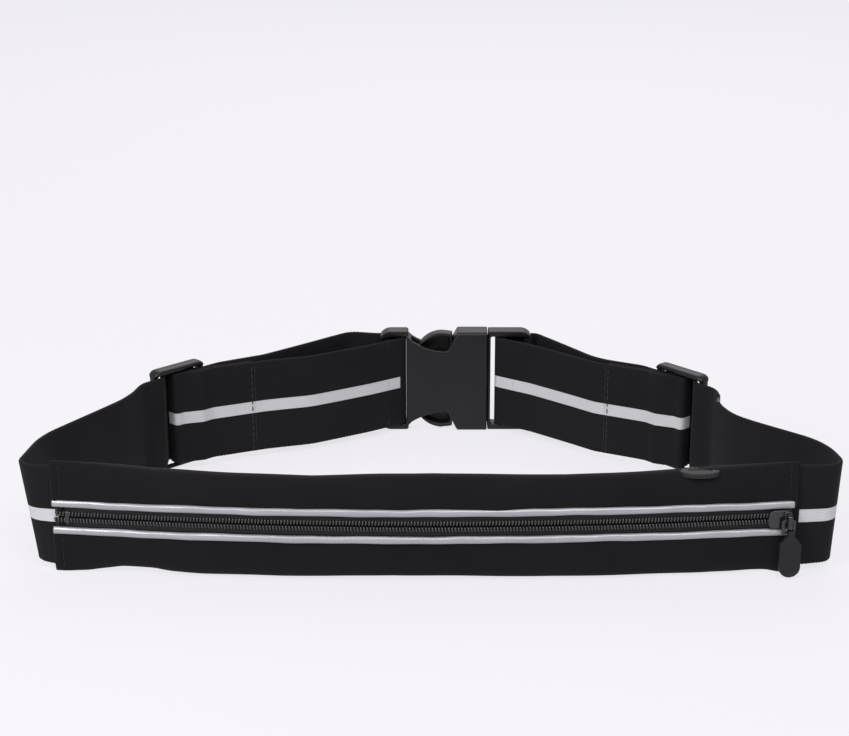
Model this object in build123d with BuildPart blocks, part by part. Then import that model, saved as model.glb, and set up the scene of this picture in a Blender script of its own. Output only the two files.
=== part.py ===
"""Slim elastic waist pack standing on its lower edge, closed round as it is worn.

The pouch runs along X at the front (-Y) and the buckle sits at the back (+Y).  Each end of the
pouch carries an elastic strap that passes through a three-bar adjuster, folds round its half of
the side-release buckle and returns to the adjuster's middle bar.  Millimetres, +Z up, with the
origin on the ground under the middle of the whole pack.
"""
from build123d import *
from math import asin, cos, degrees, radians, sin
import os

os.makedirs("parts", exist_ok=True)

# ---------------------------------------------------------------- driving dimensions
BELT_HEIGHT = 46.0          # adjusters and buckle, the tallest pieces
MID_Z = BELT_HEIGHT / 2     # height of the zip, the stripe and the buckle's middle
SEWN_GAP = 0.05             # between pieces that are sewn or moulded together
RUNNING_GAP = 0.3           # between pieces that move past each other

# webbing
WEB_WIDTH = 40.0
WEB_THICK = 1.7

# pouch: its front wall follows an arc of FRONT_RADIUS about an upright axis far behind it
FRONT_RADIUS = 1000.0
FRONT_Y = -88.0             # front wall at the middle of the pouch
POUCH_LEFT = -139.4
POUCH_RIGHT = 136.4
POUCH_THICK = 14.0
POUCH_HEIGHT = 38.6
POUCH_END_THICK = 5.0
POUCH_END_HEIGHT = 44.0
POUCH_WALL = 1.2
POUCH_TAPER = 30.0          # length over which each end flattens
POUCH_PANELS = 24           # straight steps that follow the arc closely enough for the zip tapes
HEM_LENGTH = 2.6
HEM_HEIGHT = 46.0
HEM_THICK = 4.6

# zip
ZIP_LEFT = -135.0
ZIP_RIGHT = 133.7
PIPING_HEIGHT = 2.9
PIPING_PROUD = 0.9
TAPE_HEIGHT = 8.0
TAPE_THICK = 0.6
COIL_HEIGHT = 1.9
COIL_DEPTH = 1.5
COIL_SPLIT = 1.1            # space between the two coils, where the slider's neck runs
STOP_LENGTH = 1.6
SLIDER_LENGTH = 9.0
SLIDER_HEIGHT = 7.2
ZIP_WINDOW = SLIDER_HEIGHT + 2 * RUNNING_GAP      # height of the opening between the two pipings
SLIDER_PLATE = 0.9
NECK_THICK = 0.6
NECK_LENGTH = 3.6
BRIDGE_WIDTH = 1.6
BRIDGE_HEIGHT = 3.8
BRIDGE_LENGTH = 5.4
PULL_WIRE = 0.55            # radius of the pull's link
PULL_OFFSET = 2.6            # the pull hangs towards the rear end of the slider
LINK_WIDTH = 4.2
LINK_DROP = 5.0
TAB_WIDTH = 7.4
TAB_LENGTH = 18.0
TAB_THICK = 2.3
TAB_NECK_WIDTH = 2.3
TAB_EYE_WALL = 0.45
TAB_NECK_DROP = 2.2
TAB_SHOULDER = 3.2

# earphone port, an oval rubber lip in the pouch's top edge
PORT_X = 98.0
PORT_LENGTH = 15.0
PORT_DEPTH = 8.4
PORT_LIFT = 1.1
PORT_SLIT = 0.8

# three-bar adjusters
ADJUSTER_LENGTH = 26.5
ADJUSTER_THICK = 3.2
ADJUSTER_BAR = 3.0
ADJUSTER_MID_BAR = 3.6
ADJUSTER_SIDE = 2.4
LEFT_ADJUSTER = (-106.5, 32.0)
RIGHT_ADJUSTER = (104.0, 27.0)
LEFT_ANGLE = 44.0           # direction of the strap through each adjuster, towards the buckle
RIGHT_ANGLE = 132.0
SEWN_TAIL = 19.0            # from the adjuster's end bar to the row of stitches
SEWN_TURN = 20.0            # how far the sewn end turns inward as it leaves the adjuster
WEAVE_REACH = 15.5          # half length of the strap that snakes through the bars
STRAIGHT_RUN = 4.5          # of the strap on either side of the weave

# side-release buckle
BUCKLE_Y = 82.0
BUCKLE_HEIGHT = 45.6
SOCKET_THICK = 10.6
SOCKET_MOUTH_X = 24.6
SOCKET_BODY_X = -11.0
SOCKET_END_X = -22.6
SOCKET_WALL = 2.1
SOCKET_SIDE = 3.4           # top and bottom walls of the socket
FRAME_THICK = 7.2
FRAME_SIDE = 2.5
BAR_THICK = 4.0
SOCKET_BAR = 5.2
WINDOW_LEFT = -8.6
WINDOW_RIGHT = 11.6
WINDOW_DEPTH = 8.6
PLUG_BASE = 1.2
PLUG_SLIT_TO_FOLD = 1.9
PLUG_BAR = 3.6
PLUG_END_X = 44.3
PLUG_END_BAR = 3.6
TONGUE_LENGTH = 27.0
TONGUE_HEIGHT = 4.0
ARM_THICK = 5.4
ARM_PIVOT_Z = 8.6           # above and below the middle
ARM_REACH_Z = 21.4
ARM_ROOT = 1.3              # radius of the arm's round root
ARM_ROOT_SETBACK = 2.9      # of the root's centre inside the plug's collar

# plan of the straps: corner points outside each end of the pouch and half-way to the adjusters
LEFT_CORNER = (-154.4, -76.6)
LEFT_WAIST = (-150.2, -45.0)
LEFT_HIP = (-124.6, 1.0)
RIGHT_CORNER = (154.2, -76.4)
RIGHT_WAIST = (150.4, -53.0)
RIGHT_HIP = (116.5, -8.0)
LEFT_OUTER_BEND = (-72.0, 54.6)
LEFT_OUTER_CREST = (-36.0, 87.6)
LEFT_INNER_BEND = (-52.0, 52.5)
RIGHT_OUTER_BEND = (70.0, 50.0)
RIGHT_OUTER_CREST = (52.0, 77.0)
RIGHT_INNER_BEND = (62.0, 51.5)
PULL_ANGLE = 36.0           # how far forward the straps leave the buckle's bars

# ---------------------------------------------------------------- shared helpers
WEB_LOW = MID_Z - WEB_WIDTH / 2
ARC_CENTRE = (0.0, FRONT_Y + FRONT_RADIUS)


def arc_angle(x):
    """Angle round the far axis, in degrees, of the point of the front wall at this x."""
    return degrees(asin(x / FRONT_RADIUS))


def on_arc(x, inset=0.0):
    """Plan point at this x, `inset` behind the front wall."""
    angle = radians(arc_angle(x))
    reach = FRONT_RADIUS - inset
    return (reach * sin(angle), ARC_CENTRE[1] - reach * cos(angle))


def arc_plane(x, inset=0.0, z=MID_Z):
    """Upright plane across the pouch at this x: local x points to the rear, local y up."""
    px, py = on_arc(x, inset)
    angle = radians(arc_angle(x))
    return Plane(origin=(px, py, z), x_dir=(-sin(angle), cos(angle), 0), z_dir=(cos(angle), sin(angle), 0))


def beside(centre, angle, along, out):
    """Plan point in an adjuster's own directions: along the strap and out from the loop."""
    side = 1 if angle < 90 else -1
    c, s = cos(radians(angle)), sin(radians(angle))
    return (centre[0] + along * c - side * out * s, centre[1] + along * s + side * out * c)


def curved_bar(name, x_start, x_end, inset, depth, z_low, height, corner=0.0):
    """A bar that follows the pouch's front arc, of a plain or rounded rectangular section."""
    span = arc_angle(x_end) - arc_angle(x_start)
    with BuildPart() as bar:
        with BuildSketch(arc_plane(x_start, inset + depth / 2, z_low + height / 2)):
            if corner:
                RectangleRounded(depth, height, corner)
            else:
                Rectangle(depth, height)
        revolve(axis=Axis((ARC_CENTRE[0], ARC_CENTRE[1], 0), (0, 0, 1)), revolution_arc=span)
    return finished(bar, name)


def ribbon(name, points, radii, thick=WEB_THICK, z_low=WEB_LOW, height=WEB_WIDTH):
    """Webbing on edge: a plan route of straight runs and arcs, thickened and raised."""
    with BuildPart() as band:
        with BuildSketch(Plane.XY.offset(z_low)):
            with BuildLine():
                FilletPolyline(*points, radius=radii)
            trace(line_width=thick)
        extrude(amount=height)
    return finished(band, name)


def finished(builder, name):
    """Label a finished sub-part and write its STEP file."""
    builder.part.label = name
    export_step(builder.part, f"parts/{name}.step")
    return builder.part


# ---------------------------------------------------------------- pouch
def pouch_section(x, shrink=0.0):
    """Rounded section of the pouch at x, with its front wall on the arc."""
    from_end = min(x - POUCH_LEFT, POUCH_RIGHT - x)
    blend = min(1.0, max(0.0, from_end / POUCH_TAPER))
    blend = blend * blend * (3 - 2 * blend)
    thick = POUCH_END_THICK + (POUCH_THICK - POUCH_END_THICK) * blend
    height = POUCH_END_HEIGHT + (POUCH_HEIGHT - POUCH_END_HEIGHT) * blend
    with BuildSketch(arc_plane(x, thick / 2, MID_Z)) as section:
        RectangleRounded(thick - 2 * shrink, height - 2 * shrink, (thick - 2 * shrink) * 0.47)
    return section.sketch


def make_pouch():
    """Stretch fabric tube, open along the front between the zip's two edges."""
    length = POUCH_RIGHT - POUCH_LEFT
    stations = [POUCH_LEFT + length * share / POUCH_PANELS for share in range(POUCH_PANELS + 1)]
    with BuildPart() as pouch:
        loft([pouch_section(x) for x in stations], ruled=True)
        loft([pouch_section(x, POUCH_WALL) for x in stations], ruled=True, mode=Mode.SUBTRACT)
        # the zip's opening through the front wall
        with BuildSketch(arc_plane(ZIP_LEFT - STOP_LENGTH, 0)):
            Rectangle(2 * POUCH_WALL + 2 * PIPING_PROUD, ZIP_WINDOW)
        span = arc_angle(POUCH_RIGHT) - arc_angle(ZIP_LEFT - STOP_LENGTH)
        revolve(axis=Axis((ARC_CENTRE[0], ARC_CENTRE[1], 0), (0, 0, 1)), revolution_arc=span,
                mode=Mode.SUBTRACT)
        # seats for the hems that close each end
        for x, turn in ((POUCH_LEFT, 1), (POUCH_RIGHT, -1)):
            with BuildSketch(arc_plane(x - turn, POUCH_END_THICK / 2)):
                Rectangle(POUCH_THICK + 2, HEM_HEIGHT + 4)
            extrude(amount=turn * (1 + HEM_LENGTH + SEWN_GAP), mode=Mode.SUBTRACT)
        # seat for the earphone port in the top edge
        with BuildSketch(Plane.XY.offset(MID_Z)):
            with Locations(port_centre()):
                Ellipse(PORT_LENGTH / 2 + SEWN_GAP, PORT_DEPTH / 2 + SEWN_GAP)
        extrude(amount=BELT_HEIGHT / 2, mode=Mode.SUBTRACT)
    return finished(pouch, "pouch_fabric")


def make_hem(name, x, turn, strap_plan):
    """Folded and stitched end of the pouch, closed round the end of the webbing."""
    with BuildPart() as hem:
        with BuildSketch(arc_plane(x, POUCH_END_THICK / 2)):
            RectangleRounded(HEM_THICK, HEM_HEIGHT, HEM_THICK * 0.45)
        extrude(amount=turn * HEM_LENGTH)
        with BuildSketch(Plane.XY.offset(WEB_LOW - SEWN_GAP)):
            with BuildLine():
                Line(*strap_plan)
            trace(line_width=WEB_THICK + 2 * SEWN_GAP)
        extrude(amount=WEB_WIDTH + 2 * SEWN_GAP, mode=Mode.SUBTRACT)
    return finished(hem, name)


def port_centre():
    """Plan point at the middle of the pouch's top edge where the earphone port is set in."""
    return on_arc(PORT_X, POUCH_THICK / 2)


def make_port():
    """Oval rubber lip with a slit for an earphone lead."""
    top = MID_Z + POUCH_HEIGHT / 2
    with BuildPart() as port:
        with BuildSketch(Plane.XY.offset(top - 2 * PORT_LIFT)):
            with Locations(port_centre()):
                Ellipse(PORT_LENGTH / 2, PORT_DEPTH / 2)
        extrude(amount=3 * PORT_LIFT)
        fillet(port.edges().group_by(Axis.Z)[-1], 0.45 * PORT_LIFT)
        with BuildSketch(Plane.XY.offset(top - 3 * PORT_LIFT)):
            with Locations(port_centre()):
                SlotOverall(PORT_LENGTH * 0.62, PORT_SLIT)
        extrude(amount=6 * PORT_LIFT, mode=Mode.SUBTRACT)
    return finished(port, "earphone_port")


# ---------------------------------------------------------------- zip
TAPE_INSET = POUCH_WALL + SEWN_GAP
COIL_INSET = TAPE_INSET - SEWN_GAP - COIL_DEPTH


def make_zip_rows():
    """Tape, coil and reflective piping above and below the zip's line."""
    for word, sign in (("upper", 1), ("lower", -1)):
        def low(near, height):
            return MID_Z + near if sign > 0 else MID_Z - near - height

        split = COIL_SPLIT / 2
        tape_low = low(split, TAPE_HEIGHT)
        curved_bar(f"zip_tape_{word}", ZIP_LEFT, ZIP_RIGHT, TAPE_INSET, TAPE_THICK, tape_low, TAPE_HEIGHT)
        coil_low = low(split, COIL_HEIGHT)
        curved_bar(f"zip_coil_{word}", ZIP_LEFT, ZIP_RIGHT, COIL_INSET, COIL_DEPTH, coil_low,
                   COIL_HEIGHT, 0.42 * COIL_DEPTH)
        piping_low = low(ZIP_WINDOW / 2, PIPING_HEIGHT)
        curved_bar(f"piping_{word}", ZIP_LEFT - STOP_LENGTH, ZIP_RIGHT,
                   -PIPING_PROUD - SEWN_GAP, PIPING_PROUD, piping_low, PIPING_HEIGHT, 0.3)


def make_zip_stop():
    """Stop across both coils at the far end of the slider's travel."""
    height = COIL_SPLIT + 2 * COIL_HEIGHT
    curved_bar("zip_end_stop", ZIP_LEFT - STOP_LENGTH, ZIP_LEFT - SEWN_GAP, COIL_INSET, COIL_DEPTH,
               MID_Z - height / 2, height, 0.4)


SLIDER_X = ZIP_RIGHT - SLIDER_LENGTH / 2 - RUNNING_GAP
SLIDER_FACE = COIL_INSET - RUNNING_GAP - SLIDER_PLATE       # inset of the slider's front face
LINK_INSET = SLIDER_FACE - BRIDGE_HEIGHT / 2 + SLIDER_PLATE / 2
SLIDER_BACK = TAPE_INSET + TAPE_THICK + RUNNING_GAP         # inset of its rear plate


def make_slider():
    """Zip slider: two plates held together by a neck that runs between the coils, and a bridge."""
    plane = arc_plane(SLIDER_X, 0)
    upright = Plane(origin=plane.origin, x_dir=plane.z_dir, z_dir=-plane.x_dir)
    with BuildPart() as slider:
        with BuildSketch(upright.offset(-SLIDER_FACE)):
            RectangleRounded(SLIDER_LENGTH, SLIDER_HEIGHT, 2.2)
        extrude(amount=-SLIDER_PLATE)
        front = slider.faces().sort_by(SortBy.AREA)[-2:].sort_by(Axis.Y)[0]
        fillet(front.edges(), SLIDER_PLATE * 0.4)
        with BuildSketch(upright.offset(-SLIDER_BACK)):
            RectangleRounded(SLIDER_LENGTH, SLIDER_HEIGHT, 2.2)
        extrude(amount=-SLIDER_PLATE)
        with BuildSketch(upright.offset(-SLIDER_FACE - SLIDER_PLATE)):
            Rectangle(NECK_LENGTH, NECK_THICK)
        extrude(amount=-(SLIDER_BACK - SLIDER_FACE - SLIDER_PLATE))
        # bridge on the front plate, with a cross hole for the pull's link
        with BuildSketch(arc_plane(SLIDER_X + PULL_OFFSET)):
            with Locations((LINK_INSET, 0)):
                RectangleRounded(BRIDGE_HEIGHT + SLIDER_PLATE, BRIDGE_LENGTH, 0.9)
                Circle(PULL_WIRE + RUNNING_GAP, mode=Mode.SUBTRACT)
        extrude(amount=BRIDGE_WIDTH / 2, both=True)
    return finished(slider, "zip_slider")


def make_pull():
    """Link through the slider's bridge and the rubber tab that hangs from it."""
    plane = arc_plane(SLIDER_X + PULL_OFFSET, LINK_INSET)
    face = Plane(origin=plane.origin, x_dir=plane.z_dir, z_dir=-plane.x_dir)
    with BuildPart() as link:
        with BuildSketch(face.offset(-PULL_WIRE)):
            with Locations((0, -LINK_DROP / 2)):
                RectangleRounded(LINK_WIDTH + 2 * PULL_WIRE, LINK_DROP + 2 * PULL_WIRE, 2 * PULL_WIRE)
                RectangleRounded(LINK_WIDTH - 2 * PULL_WIRE, LINK_DROP - 2 * PULL_WIRE, PULL_WIRE / 2,
                                 mode=Mode.SUBTRACT)
        extrude(amount=2 * PULL_WIRE)
    finished(link, "pull_link")

    eye = PULL_WIRE + RUNNING_GAP
    top = -LINK_DROP + eye + TAB_EYE_WALL
    neck, shoulder, belly = TAB_NECK_WIDTH / 2, top - TAB_NECK_DROP, top - TAB_NECK_DROP - TAB_SHOULDER
    half, low = TAB_WIDTH / 2, top - TAB_LENGTH + TAB_WIDTH / 2
    with BuildPart() as tab:
        with BuildSketch(face.offset(-TAB_THICK / 2)):
            with BuildLine():
                Polyline((-neck, top), (neck, top), (neck, shoulder), (half, belly), (half, low))
                ThreePointArc((half, low), (0, top - TAB_LENGTH), (-half, low))
                Polyline((-half, low), (-half, belly), (-neck, shoulder), (-neck, top))
            make_face()
        extrude(amount=TAB_THICK)
        # channel across the neck for the link's lower wire
        with BuildSketch(Plane(origin=face.origin, x_dir=(0, 0, 1), z_dir=face.x_dir)):
            with Locations((-LINK_DROP, 0)):
                Circle(eye)
        extrude(amount=TAB_WIDTH, both=True, mode=Mode.SUBTRACT)
    return finished(tab, "pull_tab")


# ---------------------------------------------------------------- adjusters
def make_adjuster(name, centre, angle):
    """Three-bar slide: an upright frame with two slots for the strap."""
    frame = Plane(origin=(centre[0], centre[1], MID_Z), x_dir=(cos(radians(angle)), sin(radians(angle)), 0),
                  z_dir=(-sin(radians(angle)), cos(radians(angle)), 0))
    slot_height = BELT_HEIGHT - 2 * ADJUSTER_SIDE
    slot_length = (ADJUSTER_LENGTH - ADJUSTER_MID_BAR) / 2 - ADJUSTER_BAR
    slot_centre = (ADJUSTER_MID_BAR + slot_length) / 2
    with BuildPart() as ladder:
        with BuildSketch(frame.offset(-ADJUSTER_THICK / 2)):
            RectangleRounded(ADJUSTER_LENGTH, BELT_HEIGHT, 3.4)
            with Locations((-slot_centre, 0), (slot_centre, 0)):
                Rectangle(slot_length, slot_height, mode=Mode.SUBTRACT)
        extrude(amount=ADJUSTER_THICK)
        ends = ladder.faces().filter_by(Plane(frame.origin, x_dir=frame.x_dir, z_dir=frame.z_dir))
        fillet(ends.edges().filter_by(Axis.Z), 0.9)
    return finished(ladder, name)


def make_strap(side, centre, angle, pouch_x, plan, corner_radius, outer, in_bend, fold):
    """The webbing on one side of the pack, in the five stretches that its hardware makes of it."""
    layer = WEB_THICK + 2 * SEWN_GAP
    over = ADJUSTER_THICK / 2 + 2 * SEWN_GAP + WEB_THICK / 2
    under, tail, inner = -over, -over - layer, -over - 2 * layer
    side_of_bar = ADJUSTER_MID_BAR / 2 + 2 * SEWN_GAP + WEB_THICK / 2
    slot_end = ADJUSTER_LENGTH / 2 - ADJUSTER_BAR

    def at(along, out):
        return beside(centre, angle, along, out)

    def turned(out, reach):
        knee = slot_end + ADJUSTER_BAR + (out - inner) * sin(radians(SEWN_TURN / 2))
        return at(knee + reach * cos(radians(SEWN_TURN)), out - reach * sin(radians(SEWN_TURN)))

    run = WEAVE_REACH + STRAIGHT_RUN
    ribbon(f"webbing_{side}_side", [pouch_x, *plan, at(-run, under), at(-WEAVE_REACH, under)],
           [corner_radius, 50, 40, 11])
    crest = over + layer
    ribbon(f"webbing_{side}_weave",
           [at(SEWN_GAP - WEAVE_REACH, under), at(0.35 - slot_end, under), at(-3.6, crest), at(3.6, crest),
            at(slot_end - 0.35, under), at(WEAVE_REACH - SEWN_GAP, under)], [1.8, 2.0, 2.0, 1.8])
    ribbon(f"webbing_{side}_outer", [at(WEAVE_REACH, under), at(run, under), *outer, *fold],
           [14, 30, 8, 3, 1.2, 1.2])
    # sewn end: in from the buckle, once round the middle bar and back along itself
    ribbon(f"webbing_{side}_sewn_end",
           [turned(inner, SEWN_TAIL), turned(inner, 0), at(8.0, inner), at(0.6, under), at(-side_of_bar, under),
            at(-side_of_bar, over), at(side_of_bar, over), at(side_of_bar, -0.6), at(9.0, tail),
            turned(tail, 0), turned(tail, SEWN_TAIL)],
           [8, 2.0, 2.0, 1.0, 1.0, 1.0, 1.0, 1.4, 8])
    start = turned(inner, SEWN_TAIL + SEWN_GAP)
    corner, end = fold[-2], fold[-1]
    approach = (2 * end[0] - corner[0], 2 * end[1] - corner[1])
    after = turned(inner, SEWN_TAIL + STRAIGHT_RUN)
    ribbon(f"webbing_{side}_inner", [start, after, in_bend, approach, end], [12, 30, 16])


def fold_round(bar_x, turn_x, direction):
    """Plan of the strap's fold round a buckle bar: along its back, across it and away forward."""
    out = BAR_THICK / 2 + 2 * SEWN_GAP + WEB_THICK / 2
    away = (direction * cos(radians(PULL_ANGLE)), -sin(radians(PULL_ANGLE)))
    return [(bar_x + direction * 2.0, BUCKLE_Y + out + 0.3), (turn_x, BUCKLE_Y + out), (turn_x, BUCKLE_Y - out),
            (turn_x + 9.0 * away[0], BUCKLE_Y - out + 9.0 * away[1])]


# ---------------------------------------------------------------- buckle
def upright_at(y):
    """Plane facing the front with local x along +X and local y up, at this depth."""
    return Plane(origin=(0, y, MID_Z), x_dir=(1, 0, 0), z_dir=(0, -1, 0))


def make_socket():
    """Female half: hollow body with a window above and below, and a frame for the strap."""
    half = BUCKLE_HEIGHT / 2
    with BuildPart() as socket:
        with BuildSketch(upright_at(BUCKLE_Y + SOCKET_THICK / 2)):
            with BuildLine():
                Polyline((SOCKET_BODY_X, -half + 1.5), (SOCKET_BODY_X, half - 1.5))
                Line((SOCKET_BODY_X, half - 1.5), (WINDOW_LEFT, half - 4.0))
                ThreePointArc((WINDOW_LEFT, half - 4.0), (1.0, half - WINDOW_DEPTH + 0.6),
                              (WINDOW_RIGHT - 4.5, half - WINDOW_DEPTH))
                Line((WINDOW_RIGHT - 4.5, half - WINDOW_DEPTH), (WINDOW_RIGHT, half))
                Line((WINDOW_RIGHT, half), (SOCKET_MOUTH_X, half))
                Line((SOCKET_MOUTH_X, half), (SOCKET_MOUTH_X, -half))
                Line((SOCKET_MOUTH_X, -half), (WINDOW_RIGHT, -half))
                Line((WINDOW_RIGHT, -half), (WINDOW_RIGHT - 4.5, -half + WINDOW_DEPTH))
                ThreePointArc((WINDOW_RIGHT - 4.5, -half + WINDOW_DEPTH), (1.0, -half + WINDOW_DEPTH - 0.6),
                              (WINDOW_LEFT, -half + 4.0))
                Line((WINDOW_LEFT, -half + 4.0), (SOCKET_BODY_X, -half + 1.5))
            make_face()
        extrude(amount=SOCKET_THICK)
        fillet(socket.edges().filter_by(Axis.X), 1.6)
        # cavity for the plug's tongue and arms, open at the mouth and through both windows
        cavity = SOCKET_THICK - 2 * SOCKET_WALL
        with BuildSketch(upright_at(BUCKLE_Y + cavity / 2)):
            with Locations((SOCKET_MOUTH_X / 2 + (SOCKET_BODY_X + SOCKET_WALL) / 2 + 1, 0)):
                Rectangle(SOCKET_MOUTH_X - SOCKET_BODY_X - SOCKET_WALL + 2, BUCKLE_HEIGHT - 2 * SOCKET_SIDE)
        extrude(amount=cavity, mode=Mode.SUBTRACT)
        # strap frame: two side arms and the end bar
        with BuildSketch(upright_at(BUCKLE_Y + FRAME_THICK / 2)):
            frame_length = SOCKET_BODY_X - SOCKET_END_X
            with Locations(((SOCKET_BODY_X + SOCKET_END_X) / 2 + 0.5, half - FRAME_SIDE / 2),
                           ((SOCKET_BODY_X + SOCKET_END_X) / 2 + 0.5, -half + FRAME_SIDE / 2)):
                RectangleRounded(frame_length + 1, FRAME_SIDE, 1.0)
        extrude(amount=FRAME_THICK)
        with BuildSketch(Plane.XY.offset(MID_Z - half + 1)):
            with Locations((SOCKET_END_X + SOCKET_BAR / 2, BUCKLE_Y)):
                RectangleRounded(SOCKET_BAR, BAR_THICK, 1.6)
        extrude(amount=BUCKLE_HEIGHT - 2)
    return finished(socket, "buckle_socket")


PLUG_BASE_X = SOCKET_MOUTH_X + RUNNING_GAP
PLUG_SLOT_X = PLUG_BASE_X + PLUG_BASE
PLUG_FOLD_X = PLUG_SLOT_X + PLUG_SLIT_TO_FOLD + WEB_THICK / 2
PLUG_BAR_X = PLUG_FOLD_X + WEB_THICK / 2 + 2 * SEWN_GAP


def make_plug():
    """Male half: collar, tongue and strap frame with its two bars."""
    half = BUCKLE_HEIGHT / 2
    with BuildPart() as plug:
        # frame outline with rounded outer corners
        with BuildSketch(upright_at(BUCKLE_Y + FRAME_THICK / 2)):
            with BuildLine():
                Line((PLUG_BASE_X, half), (PLUG_END_X - 5, half))
                RadiusArc((PLUG_END_X - 5, half), (PLUG_END_X, half - 5), 5)
                Line((PLUG_END_X, half - 5), (PLUG_END_X, -half + 5))
                RadiusArc((PLUG_END_X, -half + 5), (PLUG_END_X - 5, -half), 5)
                Line((PLUG_END_X - 5, -half), (PLUG_BASE_X, -half))
                Line((PLUG_BASE_X, -half), (PLUG_BASE_X, half))
            make_face()
            slot = (PLUG_SLOT_X + PLUG_END_X - PLUG_END_BAR) / 2
            with Locations((slot, 0)):
                Rectangle(PLUG_END_X - PLUG_END_BAR - PLUG_SLOT_X, BUCKLE_HEIGHT - 2 * FRAME_SIDE,
                          mode=Mode.SUBTRACT)
        extrude(amount=FRAME_THICK)
        # the end bar is thinner than the frame, and the middle bar carries the strap's fold
        for y_from in (BUCKLE_Y + BAR_THICK / 2, BUCKLE_Y - FRAME_THICK / 2 - 1):
            depth = FRAME_THICK / 2 - BAR_THICK / 2 + 1
            with BuildSketch(upright_at(y_from + depth)):
                with Locations((PLUG_END_X, 0)):
                    Rectangle(2 * PLUG_END_BAR + 1, BUCKLE_HEIGHT - 2 * FRAME_SIDE)
            extrude(amount=depth, mode=Mode.SUBTRACT)
        with BuildSketch(Plane.XY.offset(MID_Z - half + 1)):
            with Locations((PLUG_BAR_X + PLUG_BAR / 2, BUCKLE_Y)):
                RectangleRounded(PLUG_BAR, BAR_THICK, 1.4)
        extrude(amount=BUCKLE_HEIGHT - 2)
        # tongue and the block inside the socket's mouth that carries the arms
        root_height = 2 * ARM_PIVOT_Z - 4.2
        inside = SOCKET_THICK - 2 * SOCKET_WALL - 2 * RUNNING_GAP
        with BuildSketch(upright_at(BUCKLE_Y + inside / 2)):
            with Locations((PLUG_BASE_X - 3.0 + 0.5, 0)):
                Rectangle(7.0, root_height)
            with Locations((PLUG_BASE_X - 0.4, 0)):
                Rectangle(1.8, BUCKLE_HEIGHT - 2 * SOCKET_SIDE - 2 * RUNNING_GAP)
            with Locations((PLUG_BASE_X - TONGUE_LENGTH / 2, 0)):
                RectangleRounded(TONGUE_LENGTH, TONGUE_HEIGHT, 1.2)
        extrude(amount=inside)
    return finished(plug, "buckle_plug")


def make_arm(name, sign):
    """Sprung latch arm; its head fills the socket's window and its shoulder bears on the window's end."""
    pivot_x = PLUG_BASE_X - ARM_ROOT_SETBACK
    shoulder = WINDOW_RIGHT - 2.3
    tip = WINDOW_LEFT + 1.4
    with BuildPart() as arm:
        with BuildSketch(upright_at(BUCKLE_Y + ARM_THICK / 2)):
            with BuildLine():
                Polyline((pivot_x, sign * (ARM_PIVOT_Z - ARM_ROOT)), (pivot_x, sign * (ARM_PIVOT_Z + ARM_ROOT)),
                         (shoulder + 3, sign * (ARM_PIVOT_Z + 4.2)), (shoulder, sign * (ARM_PIVOT_Z + 6.2)),
                         (shoulder, sign * ARM_REACH_Z), (shoulder - 5, sign * (ARM_REACH_Z + 0.6)))
                ThreePointArc((shoulder - 5, sign * (ARM_REACH_Z + 0.6)), (shoulder - 13, sign * (ARM_REACH_Z - 3)),
                              (tip, sign * (ARM_REACH_Z - 9.5)))
                Polyline((tip, sign * (ARM_REACH_Z - 9.5)), (tip, sign * (ARM_REACH_Z - 11.5)),
                         (shoulder - 6, sign * (ARM_REACH_Z - 8.2)), (shoulder + 2, sign * (ARM_PIVOT_Z + 1.6)),
                         (pivot_x, sign * (ARM_PIVOT_Z - ARM_ROOT)))
            make_face()
            with Locations((pivot_x, sign * ARM_PIVOT_Z)):
                Circle(ARM_ROOT)
        extrude(amount=ARM_THICK)
    return finished(arm, name)


# ---------------------------------------------------------------- build everything
make_pouch()
make_port()
make_zip_rows()
make_zip_stop()
make_slider()
make_pull()
make_adjuster("adjuster_left", LEFT_ADJUSTER, LEFT_ANGLE)
make_adjuster("adjuster_right", RIGHT_ADJUSTER, RIGHT_ANGLE)
make_socket()
make_plug()
make_arm("latch_arm_upper", 1)
make_arm("latch_arm_lower", -1)

LEFT_END = on_arc(POUCH_LEFT + 1.5, POUCH_END_THICK / 2)
RIGHT_END = on_arc(POUCH_RIGHT - 1.5, POUCH_END_THICK / 2)
make_hem("end_hem_left", POUCH_LEFT, 1, (LEFT_END, LEFT_CORNER))
make_hem("end_hem_right", POUCH_RIGHT, -1, (RIGHT_END, RIGHT_CORNER))

SOCKET_FOLD_X = SOCKET_END_X + SOCKET_BAR + 2 * SEWN_GAP + WEB_THICK / 2
make_strap("left", LEFT_ADJUSTER, LEFT_ANGLE, LEFT_END, (LEFT_CORNER, LEFT_WAIST, LEFT_HIP), 5.0,
           (LEFT_OUTER_BEND, LEFT_OUTER_CREST), LEFT_INNER_BEND, fold_round(SOCKET_END_X, SOCKET_FOLD_X, -1))
make_strap("right", RIGHT_ADJUSTER, RIGHT_ANGLE, RIGHT_END, (RIGHT_CORNER, RIGHT_WAIST, RIGHT_HIP), 6.0,
           (RIGHT_OUTER_BEND, RIGHT_OUTER_CREST), RIGHT_INNER_BEND, fold_round(PLUG_END_X, PLUG_FOLD_X, 1))
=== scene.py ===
"""Waist pack: zipped stretch pouch, elastic straps, sliding adjusters and a side-release buckle."""

import logging
import math
from dataclasses import dataclass
from enum import Enum

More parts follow.
